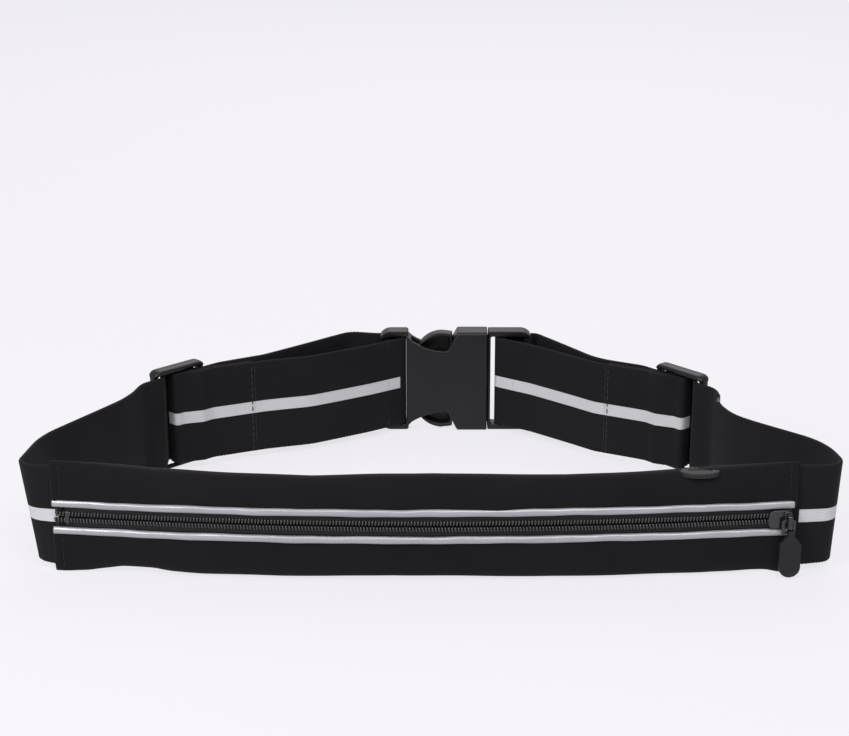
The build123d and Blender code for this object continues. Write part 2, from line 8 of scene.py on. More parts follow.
import bmesh
import bpy
import numpy as np
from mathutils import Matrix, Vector


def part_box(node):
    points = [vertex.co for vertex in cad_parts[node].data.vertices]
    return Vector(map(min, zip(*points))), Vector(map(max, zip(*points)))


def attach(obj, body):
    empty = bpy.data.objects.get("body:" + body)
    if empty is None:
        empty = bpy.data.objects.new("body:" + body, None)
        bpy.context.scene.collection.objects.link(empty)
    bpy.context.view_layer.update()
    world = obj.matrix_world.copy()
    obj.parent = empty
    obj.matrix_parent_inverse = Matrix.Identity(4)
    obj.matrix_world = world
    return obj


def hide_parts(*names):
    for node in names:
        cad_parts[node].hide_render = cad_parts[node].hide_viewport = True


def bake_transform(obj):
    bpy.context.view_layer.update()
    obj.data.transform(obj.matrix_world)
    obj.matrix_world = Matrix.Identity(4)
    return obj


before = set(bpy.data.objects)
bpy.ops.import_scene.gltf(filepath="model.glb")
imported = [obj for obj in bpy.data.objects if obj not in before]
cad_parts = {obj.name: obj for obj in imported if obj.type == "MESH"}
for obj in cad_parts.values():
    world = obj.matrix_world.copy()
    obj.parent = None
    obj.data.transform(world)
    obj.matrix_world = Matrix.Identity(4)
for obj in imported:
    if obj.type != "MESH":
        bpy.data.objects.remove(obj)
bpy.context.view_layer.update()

MM = 0.001
MID_Z = 23.0
ARC_CENTRE_Y = 912.0
ARC_RADIUS = 1000.0
BUCKLE_Y = 82.0
WEB_THICK = 1.7
SEWN_GAP = 0.05

Array = np.ndarray
Plan = tuple[float, float]
log = logging.getLogger("waist_pack")


class Side(Enum):
    """The two sides of the pack; the value is the sense in which a strap's outward face lies."""

    LEFT = 1
    RIGHT = -1


class Slot(Enum):
    """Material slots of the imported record."""

    FABRIC = "stretch_fabric"
    WEBBING = "webbing"
    REFLECTIVE = "reflective"
    TAPE = "zip_tape"
    COIL = "zip_coil"
    SLIDER = "slider_black"
    RUBBER = "rubber_black"
    PORT = "rubber_grey"
    PLASTIC = "buckle_plastic"


# ---------------------------------------------------------------- numbers and surfaces
def smooth(x: Array, low: float, high: float) -> Array:
    """Smooth rise from 0 to 1 between two values.

    Args:
        x: values to rate.
        low: value at which the rise starts.
        high: value at which it ends.

    Returns:
        Array of the same shape, from 0 to 1.
    """
    t = np.clip((np.asarray(x, float) - low) / (high - low), 0, 1)
    return t * t * (3 - 2 * t)


def on_arc(x: Array, inset: Array) -> tuple[Array, Array]:
    """Plan position on the arc that the pouch's front follows.

    Args:
        x: distance along the arc, as the x it has on the front face, in mm.
        inset: distance behind the front face, towards the arc's centre, in mm.

    Returns:
        The x and y of each point, in mm.
    """
    angle = np.arcsin(np.asarray(x, float) / ARC_RADIUS)
    reach = ARC_RADIUS - inset
    return reach * np.sin(angle), ARC_CENTRE_Y - reach * np.cos(angle)


def rounded_path(points: list[Plan], radii: list[float], step: float) -> tuple[Array, Array, Array]:
    """Evenly stepped plan curve of straight runs joined by arcs.

    Args:
        points: corners of the run, in mm.
        radii: radius at each inner corner, in mm.
        step: distance between samples, in mm.

    Returns:
        Positions (n, 2), left-hand unit normals (n, 2) and distances along the curve (n).
    """
    corner = np.array(points, float)
    pieces = [corner[:1]]
    for before, here, after, radius in zip(corner, corner[1:], corner[2:], radii):
        into = (here - before) / np.linalg.norm(here - before)
        out = (after - here) / np.linalg.norm(after - here)
        turn = math.acos(float(np.clip(into @ out, -1, 1)))
        if turn < 1e-4:
            continue
        side = math.copysign(1.0, into[0] * out[1] - into[1] * out[0])
        start = here - into * radius * math.tan(turn / 2)
        angle = np.linspace(0, turn, max(4, int(radius * turn / 0.2)))[:, None]
        normal = side * np.array([-into[1], into[0]])
        pieces.append(start + radius * (np.sin(angle) * into + (1 - np.cos(angle)) * normal))
    path = np.concatenate([*pieces, corner[-1:]])
    length = np.concatenate([[0], np.cumsum(np.linalg.norm(np.diff(path, axis=0), axis=1))])
    along = np.linspace(0, length[-1], max(3, int(length[-1] / step) + 1))
    position = np.stack([np.interp(along, length, path[:, k]) for k in (0, 1)], axis=1)
    tangent = np.gradient(position, axis=0)
    tangent /= np.linalg.norm(tangent, axis=1)[:, None]
    return position, np.stack([-tangent[:, 1], tangent[:, 0]], axis=1), along


def grid_mesh(name: str, points: Array, ring: bool, closed: bool,
              uv: tuple[Array, Array] | None = None) -> bpy.types.Object:
    """Object whose surface is a grid of points joined by quads.

    Args:
        name: name of the object.
        points: array (rows, columns, 3) in metres.
        ring: whether the last column joins the first, which makes a tube.
        closed: whether the tube's two ends are capped.
        uv: one coordinate per row and one per column edge, in metres.

    Returns:
        The linked object, smooth shaded, with its faces turned outward.
    """
    rows, columns = points.shape[:2]
    index = np.arange(rows * columns).reshape(rows, columns)
    across = np.concatenate([index, index[:, :1]], axis=1) if ring else index
    quads = np.stack([across[:-1, :-1], across[:-1, 1:], across[1:, 1:], across[1:, :-1]], axis=-1)
    faces = quads.reshape(-1, 4)
    mesh = bpy.data.meshes.new(name)
    caps = [index[0], index[-1]] if closed else []
    corners = np.concatenate([faces.ravel(), *caps])
    starts = np.concatenate([np.arange(len(faces)) * 4, len(faces) * 4 + np.arange(len(caps)) * columns])
    mesh.vertices.add(rows * columns)
    mesh.vertices.foreach_set("co", points.reshape(-1).astype(np.float32))
    mesh.loops.add(len(corners))
    mesh.loops.foreach_set("vertex_index", corners.astype(np.int32))
    mesh.polygons.add(len(starts))
    mesh.polygons.foreach_set("loop_start", starts.astype(np.int32))
    if uv is not None:
        u, v = np.meshgrid(uv[0], uv[1], indexing="ij")
        both = np.stack([u, v], axis=-1)
        of_faces = np.stack([both[:-1, :-1], both[:-1, 1:], both[1:, 1:], both[1:, :-1]],
                            axis=2).reshape(-1, 2)
        of_caps = np.zeros((len(corners) - len(of_faces), 2))
        layer = mesh.uv_layers.new(name="flat")
        layer.data.foreach_set("uv", np.concatenate([of_faces, of_caps]).ravel().astype(np.float32))
    mesh.update(calc_edges=True)
    mesh.validate()
    return linked(name, mesh, len(caps))


def linked(name: str, mesh: bpy.types.Mesh, caps: int = 0) -> bpy.types.Object:
    """Smooth-shaded object for a mesh, linked to the scene with its faces outward.

    Args:
        name: name of the object.
        mesh: its mesh, in metres in the row frame.
        caps: how many of its last faces are flat ends.

    Returns:
        The object.
    """
    work = bmesh.new()
    work.from_mesh(mesh)
    bmesh.ops.recalc_face_normals(work, faces=work.faces)
    work.to_mesh(mesh)
    work.free()
    mesh.polygons.foreach_set("use_smooth", np.arange(len(mesh.polygons)) < len(mesh.polygons) - caps)
    made = bpy.data.objects.new(name, mesh)
    bpy.context.scene.collection.objects.link(made)
    return made


def read_points(made: bpy.types.Object) -> Array:
    """Vertex positions of an object.

    Args:
        made: mesh object.

    Returns:
        Array (n, 3), in mm.
    """
    flat = np.empty(len(made.data.vertices) * 3, np.float32)
    made.data.vertices.foreach_get("co", flat)
    return flat.reshape(-1, 3).astype(float) / MM


def write_points(made: bpy.types.Object, points: Array) -> None:
    """Puts vertex positions back.

    Args:
        made: mesh object.
        points: array (n, 3), in mm.
    """
    made.data.vertices.foreach_set("co", (points * MM).astype(np.float32).ravel())
    made.data.update()


def repeated(name: str, shape: Array, faces: Array, axes: Array, centres: Array) -> bpy.types.Object:
    """One mesh made of many copies of a small shape.

    Args:
        name: name of the object.
        shape: vertices (v, 3) of one copy about its own middle.
        faces: quads (f, 4) of one copy.
        axes: rotation of each copy (n, 3, 3), with the shape's axes as rows.
        centres: middle of each copy (n, 3), in metres.

    Returns:
        The linked object.
    """
    points = np.einsum("vk,nkc->nvc", shape, axes) + centres[:, None, :]
    shift = np.arange(len(centres))[:, None, None] * len(shape)
    mesh = bpy.data.meshes.new(name)
    mesh.from_pydata(points.reshape(-1, 3), [], (faces[None] + shift).reshape(-1, 4))
    return linked(name, mesh)


def capsule(length: float, radius: float, flat: float = 1.0, sides: int = 6) -> tuple[Array, Array]:
    """Small rounded rod along its own x: rings whose radius falls off as an ellipse towards both ends.

    Args:
        length: whole length, in metres.
        radius: radius at the middle, in metres.
        flat: thickness across z as a share of the width.
        sides: points round each ring.

    Returns:
        Vertices (v, 3) and quads (f, 4); the end rings are small enough to read as closed.
    """
    t = np.array([-1, -0.86, -0.5, 0, 0.5, 0.86, 1.0])
    size = radius * np.maximum(0.04, np.sqrt(np.clip(1 - np.abs(t) ** 3, 0, 1)))
    turn = np.arange(sides) * 2 * np.pi / sides
    x = np.repeat(t * length / 2, sides)
    y = (size[:, None] * np.cos(turn)).ravel()
    z = (size[:, None] * np.sin(turn) * flat).ravel()
    index = np.arange(len(t) * sides).reshape(len(t), sides)
    around = np.concatenate([index, index[:, :1]], axis=1)
    quads = np.stack([around[:-1, :-1], around[:-1, 1:], around[1:, 1:], around[1:, :-1]], axis=-1)
    ends = np.array([[0, 1, 2, 3], [0, 3, 4, 5]]) if sides == 6 else np.array([[0, 1, 2, 3]])
    return np.stack([x, y, z], axis=1), np.concatenate([quads.reshape(-1, 4), ends, ends + index[-1, 0]])


# ---------------------------------------------------------------- shared material effects
class Tree:
    """A node tree with short calls for adding and linking nodes."""

    def __init__(self, tree: bpy.types.NodeTree) -> None:
        """Keeps the tree.

        Args:
            tree: node tree to add to.
        """
        self.tree = tree

    def add(self, kind: str, *inputs: object, **settings: object) -> bpy.types.Node:
        """Adds a node, sets its options and fills its inputs in order.

        Args:
            kind: node type without the ShaderNode prefix.
            inputs: a socket to link, a value to set or None to leave, for each input in turn.
            settings: node properties, or input names with a value or socket.

        Returns:
            The new node.
        """
        node = self.tree.nodes.new("ShaderNode" + kind)
        for key, value in settings.items():
            if hasattr(node, key):
                setattr(node, key, value)
        for number, value in enumerate(inputs):
            self.fill(node.inputs[number], value)
        for key, value in settings.items():
            if not hasattr(node, key):
                self.fill(node.inputs[key.replace("_", " ")], value)
        return node

    def fill(self, socket: bpy.types.NodeSocket, value: object) -> None:
        """Links or sets one input.

        Args:
            socket: input to fill.
            value: output socket, fixed value or None.
        """
        if isinstance(value, bpy.types.NodeSocket):
            self.tree.links.new(value, socket)
        elif value is not None:
            socket.default_value = value

    def maths(self, operation: str, *inputs: object) -> bpy.types.NodeSocket:
        """Adds a Math node.

        Args:
            operation: its operation.
            inputs: sockets or values.

        Returns:
            Its output.
        """
        return self.add("Math", *inputs, operation=operation).outputs[0]


def new_group(name: str, inputs: dict[str, tuple[str, float]], outputs: list[str]) -> tuple[Tree, object,
                                                                                            object]:
    """Starts a shader node group.

    Args:
        name: name of the group.
        inputs: socket type and default for each input.
        outputs: names of its value outputs.

    Returns:
        The tree, its input node and its output node.
    """
    group = bpy.data.node_groups.new(name, "ShaderNodeTree")
    for label, (kind, default) in inputs.items():
        socket = group.interface.new_socket(label, in_out="INPUT", socket_type=kind)
        if kind == "NodeSocketFloat":
            socket.default_value = default
    for label in outputs:
        group.interface.new_socket(label, in_out="OUTPUT", socket_type="NodeSocketFloat")
    return Tree(group), group.nodes.new("NodeGroupInput"), group.nodes.new("NodeGroupOutput")


class Effects:
    """Effects that several finishes share, each a node group that is built once."""

    def __init__(self) -> None:
        """Builds the groups."""
        self.weave = self.make_weave()
        self.knit = self.make_knit()
        self.wear = self.make_wear()

    def make_weave(self) -> bpy.types.NodeTree:
        """Plain weave: threads over and under each other, with slow unevenness.

        Returns:
            Group from Vector and Pitch to Height and Tone.
        """
        tree, inside, outside = new_group(
            "weave", {"Vector": ("NodeSocketVector", 0), "Pitch": ("NodeSocketFloat", 0.001),
                      "Stretch": ("NodeSocketFloat", 1.0)}, ["Height", "Tone"])
        parts = tree.add("SeparateXYZ", inside.outputs["Vector"])
        rate = tree.maths("DIVIDE", 2 * math.pi, inside.outputs["Pitch"])
        u = tree.maths("MULTIPLY", parts.outputs[0], tree.maths("MULTIPLY", rate, inside.outputs["Stretch"]))
        v = tree.maths("MULTIPLY", parts.outputs[1], rate)
        over = tree.maths("MULTIPLY", tree.maths("SINE", u), tree.maths("SINE", v))
        thread = tree.maths("ABSOLUTE", tree.maths("SINE", tree.maths("MULTIPLY", v, 0.5)))
        noise = tree.add("TexNoise", Vector=inside.outputs["Vector"], Scale=260.0, Detail=3.0)
        slow = tree.add("TexNoise", Vector=inside.outputs["Vector"], Scale=45.0, Detail=4.0)
        height = tree.maths("ADD", tree.maths("MULTIPLY", over, 0.35), tree.maths("MULTIPLY", thread, 0.5))
        rough = tree.maths("ADD", height, tree.maths("MULTIPLY", noise.outputs[0], 0.35))
        tree.fill(outside.inputs["Height"], rough)
        tree.fill(outside.inputs["Tone"], slow.outputs[0])
        return tree.tree

    def make_knit(self) -> bpy.types.NodeTree:
        """Fine jersey: columns of loops that lean to alternate sides.

        Returns:
            Group from Vector and Pitch to Height and Tone.
        """
        tree, inside, outside = new_group(
            "knit", {"Vector": ("NodeSocketVector", 0), "Pitch": ("NodeSocketFloat", 0.001)}, ["Height",
                                                                                               "Tone"])
        parts = tree.add("SeparateXYZ", inside.outputs["Vector"])
        rate = tree.maths("DIVIDE", 2 * math.pi, inside.outputs["Pitch"])
        u = tree.maths("MULTIPLY", parts.outputs[0], rate)
        v = tree.maths("MULTIPLY", parts.outputs[1], rate)
        lean = tree.maths("MULTIPLY", tree.maths("ABSOLUTE", tree.maths("SINE", tree.maths("MULTIPLY", u,
                                                                                           0.5))), 2.2)
        loops = tree.maths("SINE", tree.maths("ADD", v, lean))
        columns = tree.maths("ABSOLUTE", tree.maths("SINE", tree.maths("MULTIPLY", u, 0.5)))
        fuzz = tree.add("TexNoise", Vector=inside.outputs["Vector"], Scale=700.0, Detail=2.0)
        slow = tree.add("TexNoise", Vector=inside.outputs["Vector"], Scale=30.0, Detail=5.0)
        height = tree.maths("ADD", tree.maths("MULTIPLY", loops, 0.3), tree.maths("MULTIPLY", columns, 0.45))
        tree.fill(outside.inputs["Height"], tree.maths("ADD", height, tree.maths("MULTIPLY",
                                                                                 fuzz.outputs[0], 0.5)))
        tree.fill(outside.inputs["Tone"], slow.outputs[0])
        return tree.tree

    def make_wear(self) -> bpy.types.NodeTree:
        """Moulded or painted surface: fine grain, faint scuffs and handling marks.

        Returns:
            Group from Vector and Grain to Height, Scuff and Tone.
        """
        tree, inside, outside = new_group(
            "wear", {"Vector": ("NodeSocketVector", 0), "Grain": ("NodeSocketFloat", 3000.0)},
            ["Height", "Scuff", "Tone"])
        grain = tree.add("TexNoise", Vector=inside.outputs["Vector"], Scale=inside.outputs["Grain"],
                         Detail=2.0)
        slow = tree.add("TexNoise", Vector=inside.outputs["Vector"], Scale=70.0, Detail=6.0)
        scratch = tree.add("TexNoise", Vector=inside.outputs["Vector"], Scale=420.0, Detail=8.0,
                           Distortion=3.0)
        scuff = tree.add("MapRange", scratch.outputs[0], 0.62, 0.72, 0.0, 1.0)
        tree.fill(outside.inputs["Height"], grain.outputs[0])
        tree.fill(outside.inputs["Scuff"], scuff.outputs[0])
        tree.fill(outside.inputs["Tone"], slow.outputs[0])
        return tree.tree


# ---------------------------------------------------------------- finishes
@dataclass(frozen=True)
class Finish:
    """What every finish shares: its slot, its two nearby colours and its gloss."""

    slot: Slot
    dark: tuple[float, float, float]
    light: tuple[float, float, float]
    roughness: float

    def start(self, suffix: str = "") -> tuple[bpy.types.Material, Tree, bpy.types.Node]:
        """New material with an empty Principled shader.

        Args:
            suffix: added to the material's name.

        Returns:
            The material, its tree and its shader node.
        """
        material = bpy.data.materials.new(self.slot.value + suffix)
        material.use_nodes = True
        shader = material.node_tree.nodes["Principled BSDF"]
        shader.inputs["Roughness"].default_value = self.roughness
        return material, Tree(material.node_tree), shader

    def blend_colours(self, tree: Tree, shader: bpy.types.Node, mask: bpy.types.NodeSocket) -> None:
        """Base colour that wanders between the finish's two colours.

        Args:
            tree: tree of the material.
            shader: its Principled shader.
            mask: value from 0 for the dark colour to 1 for the light one.
        """
        mix = tree.add("Mix", mask, data_type="RGBA")
        mix.inputs[6].default_value = (*self.dark, 1)
        mix.inputs[7].default_value = (*self.light, 1)
        tree.fill(shader.inputs["Base Color"], mix.outputs[2])

    def bump(self, tree: Tree, shader: bpy.types.Node, height: bpy.types.NodeSocket,
             strength: float, distance: float) -> None:
        """Relief from a height.

        Args:
            tree: tree of the material.
            shader: its Principled shader.
            height: height socket.
            strength: strength of the bump.
            distance: depth of the relief in metres.
        """
        node = tree.add("Bump", Height=height, Strength=strength, Distance=distance)
        tree.fill(shader.inputs["Normal"], node.outputs[0])


@dataclass(frozen=True)
class Knit(Finish):
    """Matt stretch jersey."""

    pitch: float = 0.0007
    uses_uv: bool = True

    def build(self, effects: Effects) -> bpy.types.Material:
        """Makes the material.

        Args:
            effects: shared node groups.

        Returns:
            The material.
        """
        material, tree, shader = self.start("" if self.uses_uv else "_plain")
        place = tree.add("TexCoord").outputs["UV" if self.uses_uv else "Object"]
        knit = tree.add("Group", node_tree=effects.knit)
        tree.fill(knit.inputs["Vector"], place)
        knit.inputs["Pitch"].default_value = self.pitch
        self.blend_colours(tree, shader, knit.outputs["Tone"])
        self.bump(tree, shader, knit.outputs["Height"], 0.45, 0.00012)
        shader.inputs["Sheen Weight"].default_value = 0.03
        shader.inputs["Sheen Roughness"].default_value = 0.45
        shader.inputs["Specular IOR Level"].default_value = 0.14
        return material


@dataclass(frozen=True)
class Webbing(Finish):
    """Woven elastic webbing with a silver stripe printed on one face."""

    stripe: tuple[float, float, float] = (0.46, 0.46, 0.48)
    stripe_half: float = 0.0026
    edge: float = 0.0172

    def build(self, effects: Effects) -> bpy.types.Material:
        """Makes the material; the stripe lies where the face attribute is 1, near the middle height.

        Args:
            effects: shared node groups.

        Returns:
            The material.
        """
        material, tree, shader = self.start()
        place = tree.add("TexCoord").outputs["UV"]
        height_up = tree.maths("ABSOLUTE", tree.add("SeparateXYZ", place).outputs[1])
        weave = tree.add("Group", node_tree=effects.weave)
        tree.fill(weave.inputs["Vector"], place)
        weave.inputs["Pitch"].default_value = 0.00095
        weave.inputs["Stretch"].default_value = 0.8
        face = tree.add("Attribute", attribute_name="stripe_face").outputs["Fac"]
        near = tree.add("MapRange", height_up, self.stripe_half, self.stripe_half - 0.00012, 0.0,
                        1.0).outputs[0]
        mask = tree.maths("MULTIPLY", near, face)
        ground = tree.add("Mix", weave.outputs["Tone"], data_type="RGBA")
        ground.inputs[6].default_value = (*self.dark, 1)
        ground.inputs[7].default_value = (*self.light, 1)
        silver = tree.add("Mix", weave.outputs["Height"], data_type="RGBA")
        silver.inputs[6].default_value = (*(0.8 * c for c in self.stripe), 1)
        silver.inputs[7].default_value = (*(1.15 * c for c in self.stripe), 1)
        colour = tree.add("Mix", mask, data_type="RGBA")
        tree.fill(colour.inputs[6], ground.outputs[2])
        tree.fill(colour.inputs[7], silver.outputs[2])
        tree.fill(shader.inputs["Base Color"], colour.outputs[2])
        tree.fill(shader.inputs["Roughness"], tree.add("MapRange", mask, 0.0, 1.0, self.roughness,
                                                       0.5).outputs[0])
        border = tree.add("MapRange", height_up, self.edge, self.edge + 0.0004, 0.0, 1.0).outputs[0]
        groove = tree.maths("MULTIPLY", tree.maths("PINGPONG", height_up, 0.0008), 300.0)
        relief = tree.add("Mix", border, weave.outputs["Height"], groove, data_type="FLOAT").outputs[0]
        self.bump(tree, shader, tree.maths("MULTIPLY", relief, tree.add(
            "MapRange", mask, 0.0, 1.0, 1.0, 0.35).outputs[0]), 0.5, 0.00016)
        shader.inputs["Sheen Weight"].default_value = 0.02
        shader.inputs["Specular IOR Level"].default_value = 0.14
        return material


@dataclass(frozen=True)
class Tape(Finish):
    """Silver tape with a fine bead texture, or dark thread and zip tape with the same weave."""

    metal: float = 0.35
    pitch: float = 0.0006
    depth: float = 0.00006
    name: str = ""

    def build(self, effects: Effects) -> bpy.types.Material:
        """Makes the material.

        Args:
            effects: shared node groups.

        Returns:
            The material.
        """
        material, tree, shader = self.start(self.name)
        place = tree.add("TexCoord").outputs["Object"]
        weave = tree.add("Group", node_tree=effects.weave)
        swap = tree.add("SeparateXYZ", place)
        flat = tree.add("CombineXYZ", swap.outputs[0], swap.outputs[2], 0.0)
        tree.fill(weave.inputs["Vector"], flat.outputs[0])
        weave.inputs["Pitch"].default_value = self.pitch
        self.blend_colours(tree, shader, weave.outputs["Tone"])
        self.bump(tree, shader, weave.outputs["Height"], 0.5, self.depth)
        shader.inputs["Metallic"].default_value = self.metal
        return material


@dataclass(frozen=True)
class Moulded(Finish):
    """Moulded plastic, rubber or painted metal with fine grain and faint scuffs."""

    grain: float = 3000.0
    depth: float = 0.00004
    coat: float = 0.0
    shine: float = 0.3
    name: str = ""

    def build(self, effects: Effects) -> bpy.types.Material:
        """Makes the material.

        Args:
            effects: shared node groups.

        Returns:
            The material.
        """
        material, tree, shader = self.start(self.name)
        place = tree.add("TexCoord").outputs["Object"]
        wear = tree.add("Group", node_tree=effects.wear)
        tree.fill(wear.inputs["Vector"], place)
        wear.inputs["Grain"].default_value = self.grain
        self.blend_colours(tree, shader, wear.outputs["Tone"])
        gloss = tree.add("MapRange", wear.outputs["Scuff"], 0.0, 1.0, self.roughness,
                         min(0.9, self.roughness + 0.14))
        tree.fill(shader.inputs["Roughness"], gloss.outputs[0])
        self.bump(tree, shader, wear.outputs["Height"], 0.35, self.depth)
        shader.inputs["Specular IOR Level"].default_value = self.shine
        shader.inputs["Coat Weight"].default_value = self.coat
        shader.inputs["Coat Roughness"].default_value = 0.12
        return material


class Wardrobe:
    """The finished materials, one attribute each."""

    def __init__(self) -> None:
        """Builds every material once."""
        effects = Effects()
        self.knit = Knit(Slot.FABRIC, (0.0032, 0.0030, 0.0042), (0.0062, 0.0058, 0.0074), 0.9).build(effects)
        self.knit_plain = Knit(Slot.FABRIC, (0.0032, 0.0030, 0.0042), (0.0062, 0.0058, 0.0074), 0.9,
                               uses_uv=False).build(effects)
        self.webbing = Webbing(Slot.WEBBING, (0.0038, 0.0036, 0.0046), (0.0080, 0.0075, 0.0090),
                               0.86).build(effects)
        self.silver = Tape(Slot.REFLECTIVE, (0.24, 0.24, 0.255), (0.38, 0.38, 0.40), 0.32).build(effects)
        self.tape = Tape(Slot.TAPE, (0.005, 0.005, 0.006), (0.012, 0.012, 0.014), 0.8,
                               metal=0.0, pitch=0.0009, depth=0.00015).build(effects)
        self.thread = Tape(Slot.WEBBING, (0.005, 0.005, 0.006), (0.011, 0.011, 0.012), 0.7,
                                 metal=0.0, pitch=0.0003, name="_thread").build(effects)
        self.coil = Moulded(Slot.COIL, (0.012, 0.012, 0.013), (0.026, 0.026, 0.028), 0.22,
                            coat=0.6).build(effects)
        self.slider = Moulded(Slot.SLIDER, (0.006, 0.006, 0.007), (0.014, 0.014, 0.015), 0.2,
                              coat=0.6).build(effects)
        self.rubber = Moulded(Slot.RUBBER, (0.0055, 0.0055, 0.006), (0.010, 0.010, 0.011), 0.62,
                              grain=2200.0).build(effects)
        self.port = Moulded(Slot.PORT, (0.006, 0.006, 0.0065), (0.012, 0.012, 0.013), 0.55, grain=2200.0,
                            depth=0.00008).build(effects)
        self.plastic = Moulded(Slot.PLASTIC, (0.0045, 0.0043, 0.0050), (0.0080, 0.0076, 0.0086), 0.42,
                               grain=2600.0, depth=0.00006).build(effects)


# ---------------------------------------------------------------- pieces
@dataclass
class Piece:
    """What every sub-assembly shares: the finishes, and how a made object is handed over."""

    finishes: Wardrobe

    def hand_over(self, made: bpy.types.Object, material: bpy.types.Material, slot: Slot,
                  nodes: tuple[str, ...] = (), body: str | None = None) -> bpy.types.Object:
        """Gives an object its finish and its body, and hides the CAD nodes that it stands for.

        Args:
            made: the object.
            material: its finish.
            slot: not used.
            nodes: CAD nodes that it replaces.
            body: body that it rides on, or None to leave it unattached.

        Returns:
            The object.
        """
        made.data.materials.clear()
        made.data.materials.append(material)
        if nodes:
            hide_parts(*nodes)
        if body:
            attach(made, body)
        log.info("%s: %d faces", made.name, len(made.data.polygons))
        return made

    def moulded_copy(self, node: str, voxel: float, passes: int) -> bpy.types.Object:
        """Copy of a CAD node with rounded, moulded edges.

        Args:
            node: CAD node to copy.
            voxel: size of the remesh, in mm.
            passes: smoothing passes.

        Returns:
            The new object, not yet handed over.
        """
        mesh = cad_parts[node].data.copy()
        work = bmesh.new()
        work.from_mesh(mesh)
        bmesh.ops.remove_doubles(work, verts=work.verts, dist=2e-6)
        work.to_mesh(mesh)
        work.free()
        mesh.materials.clear()
        rough = bpy.data.objects.new(node + "_form", mesh)
        bpy.context.scene.collection.objects.link(rough)
        remesh = rough.modifiers.new("remesh", "REMESH")
        remesh.mode = "VOXEL"
        remesh.voxel_size = voxel * MM
        remesh.adaptivity = 0.0
        soften = rough.modifiers.new("soften", "SMOOTH")
        soften.factor = 0.5
        soften.iterations = passes
        graph = bpy.context.evaluated_depsgraph_get()
        final = bpy.data.meshes.new_from_object(rough.evaluated_get(graph))
        bpy.data.objects.remove(rough)
        final.name = node + "_moulded"
        return linked(node + "_moulded", final)


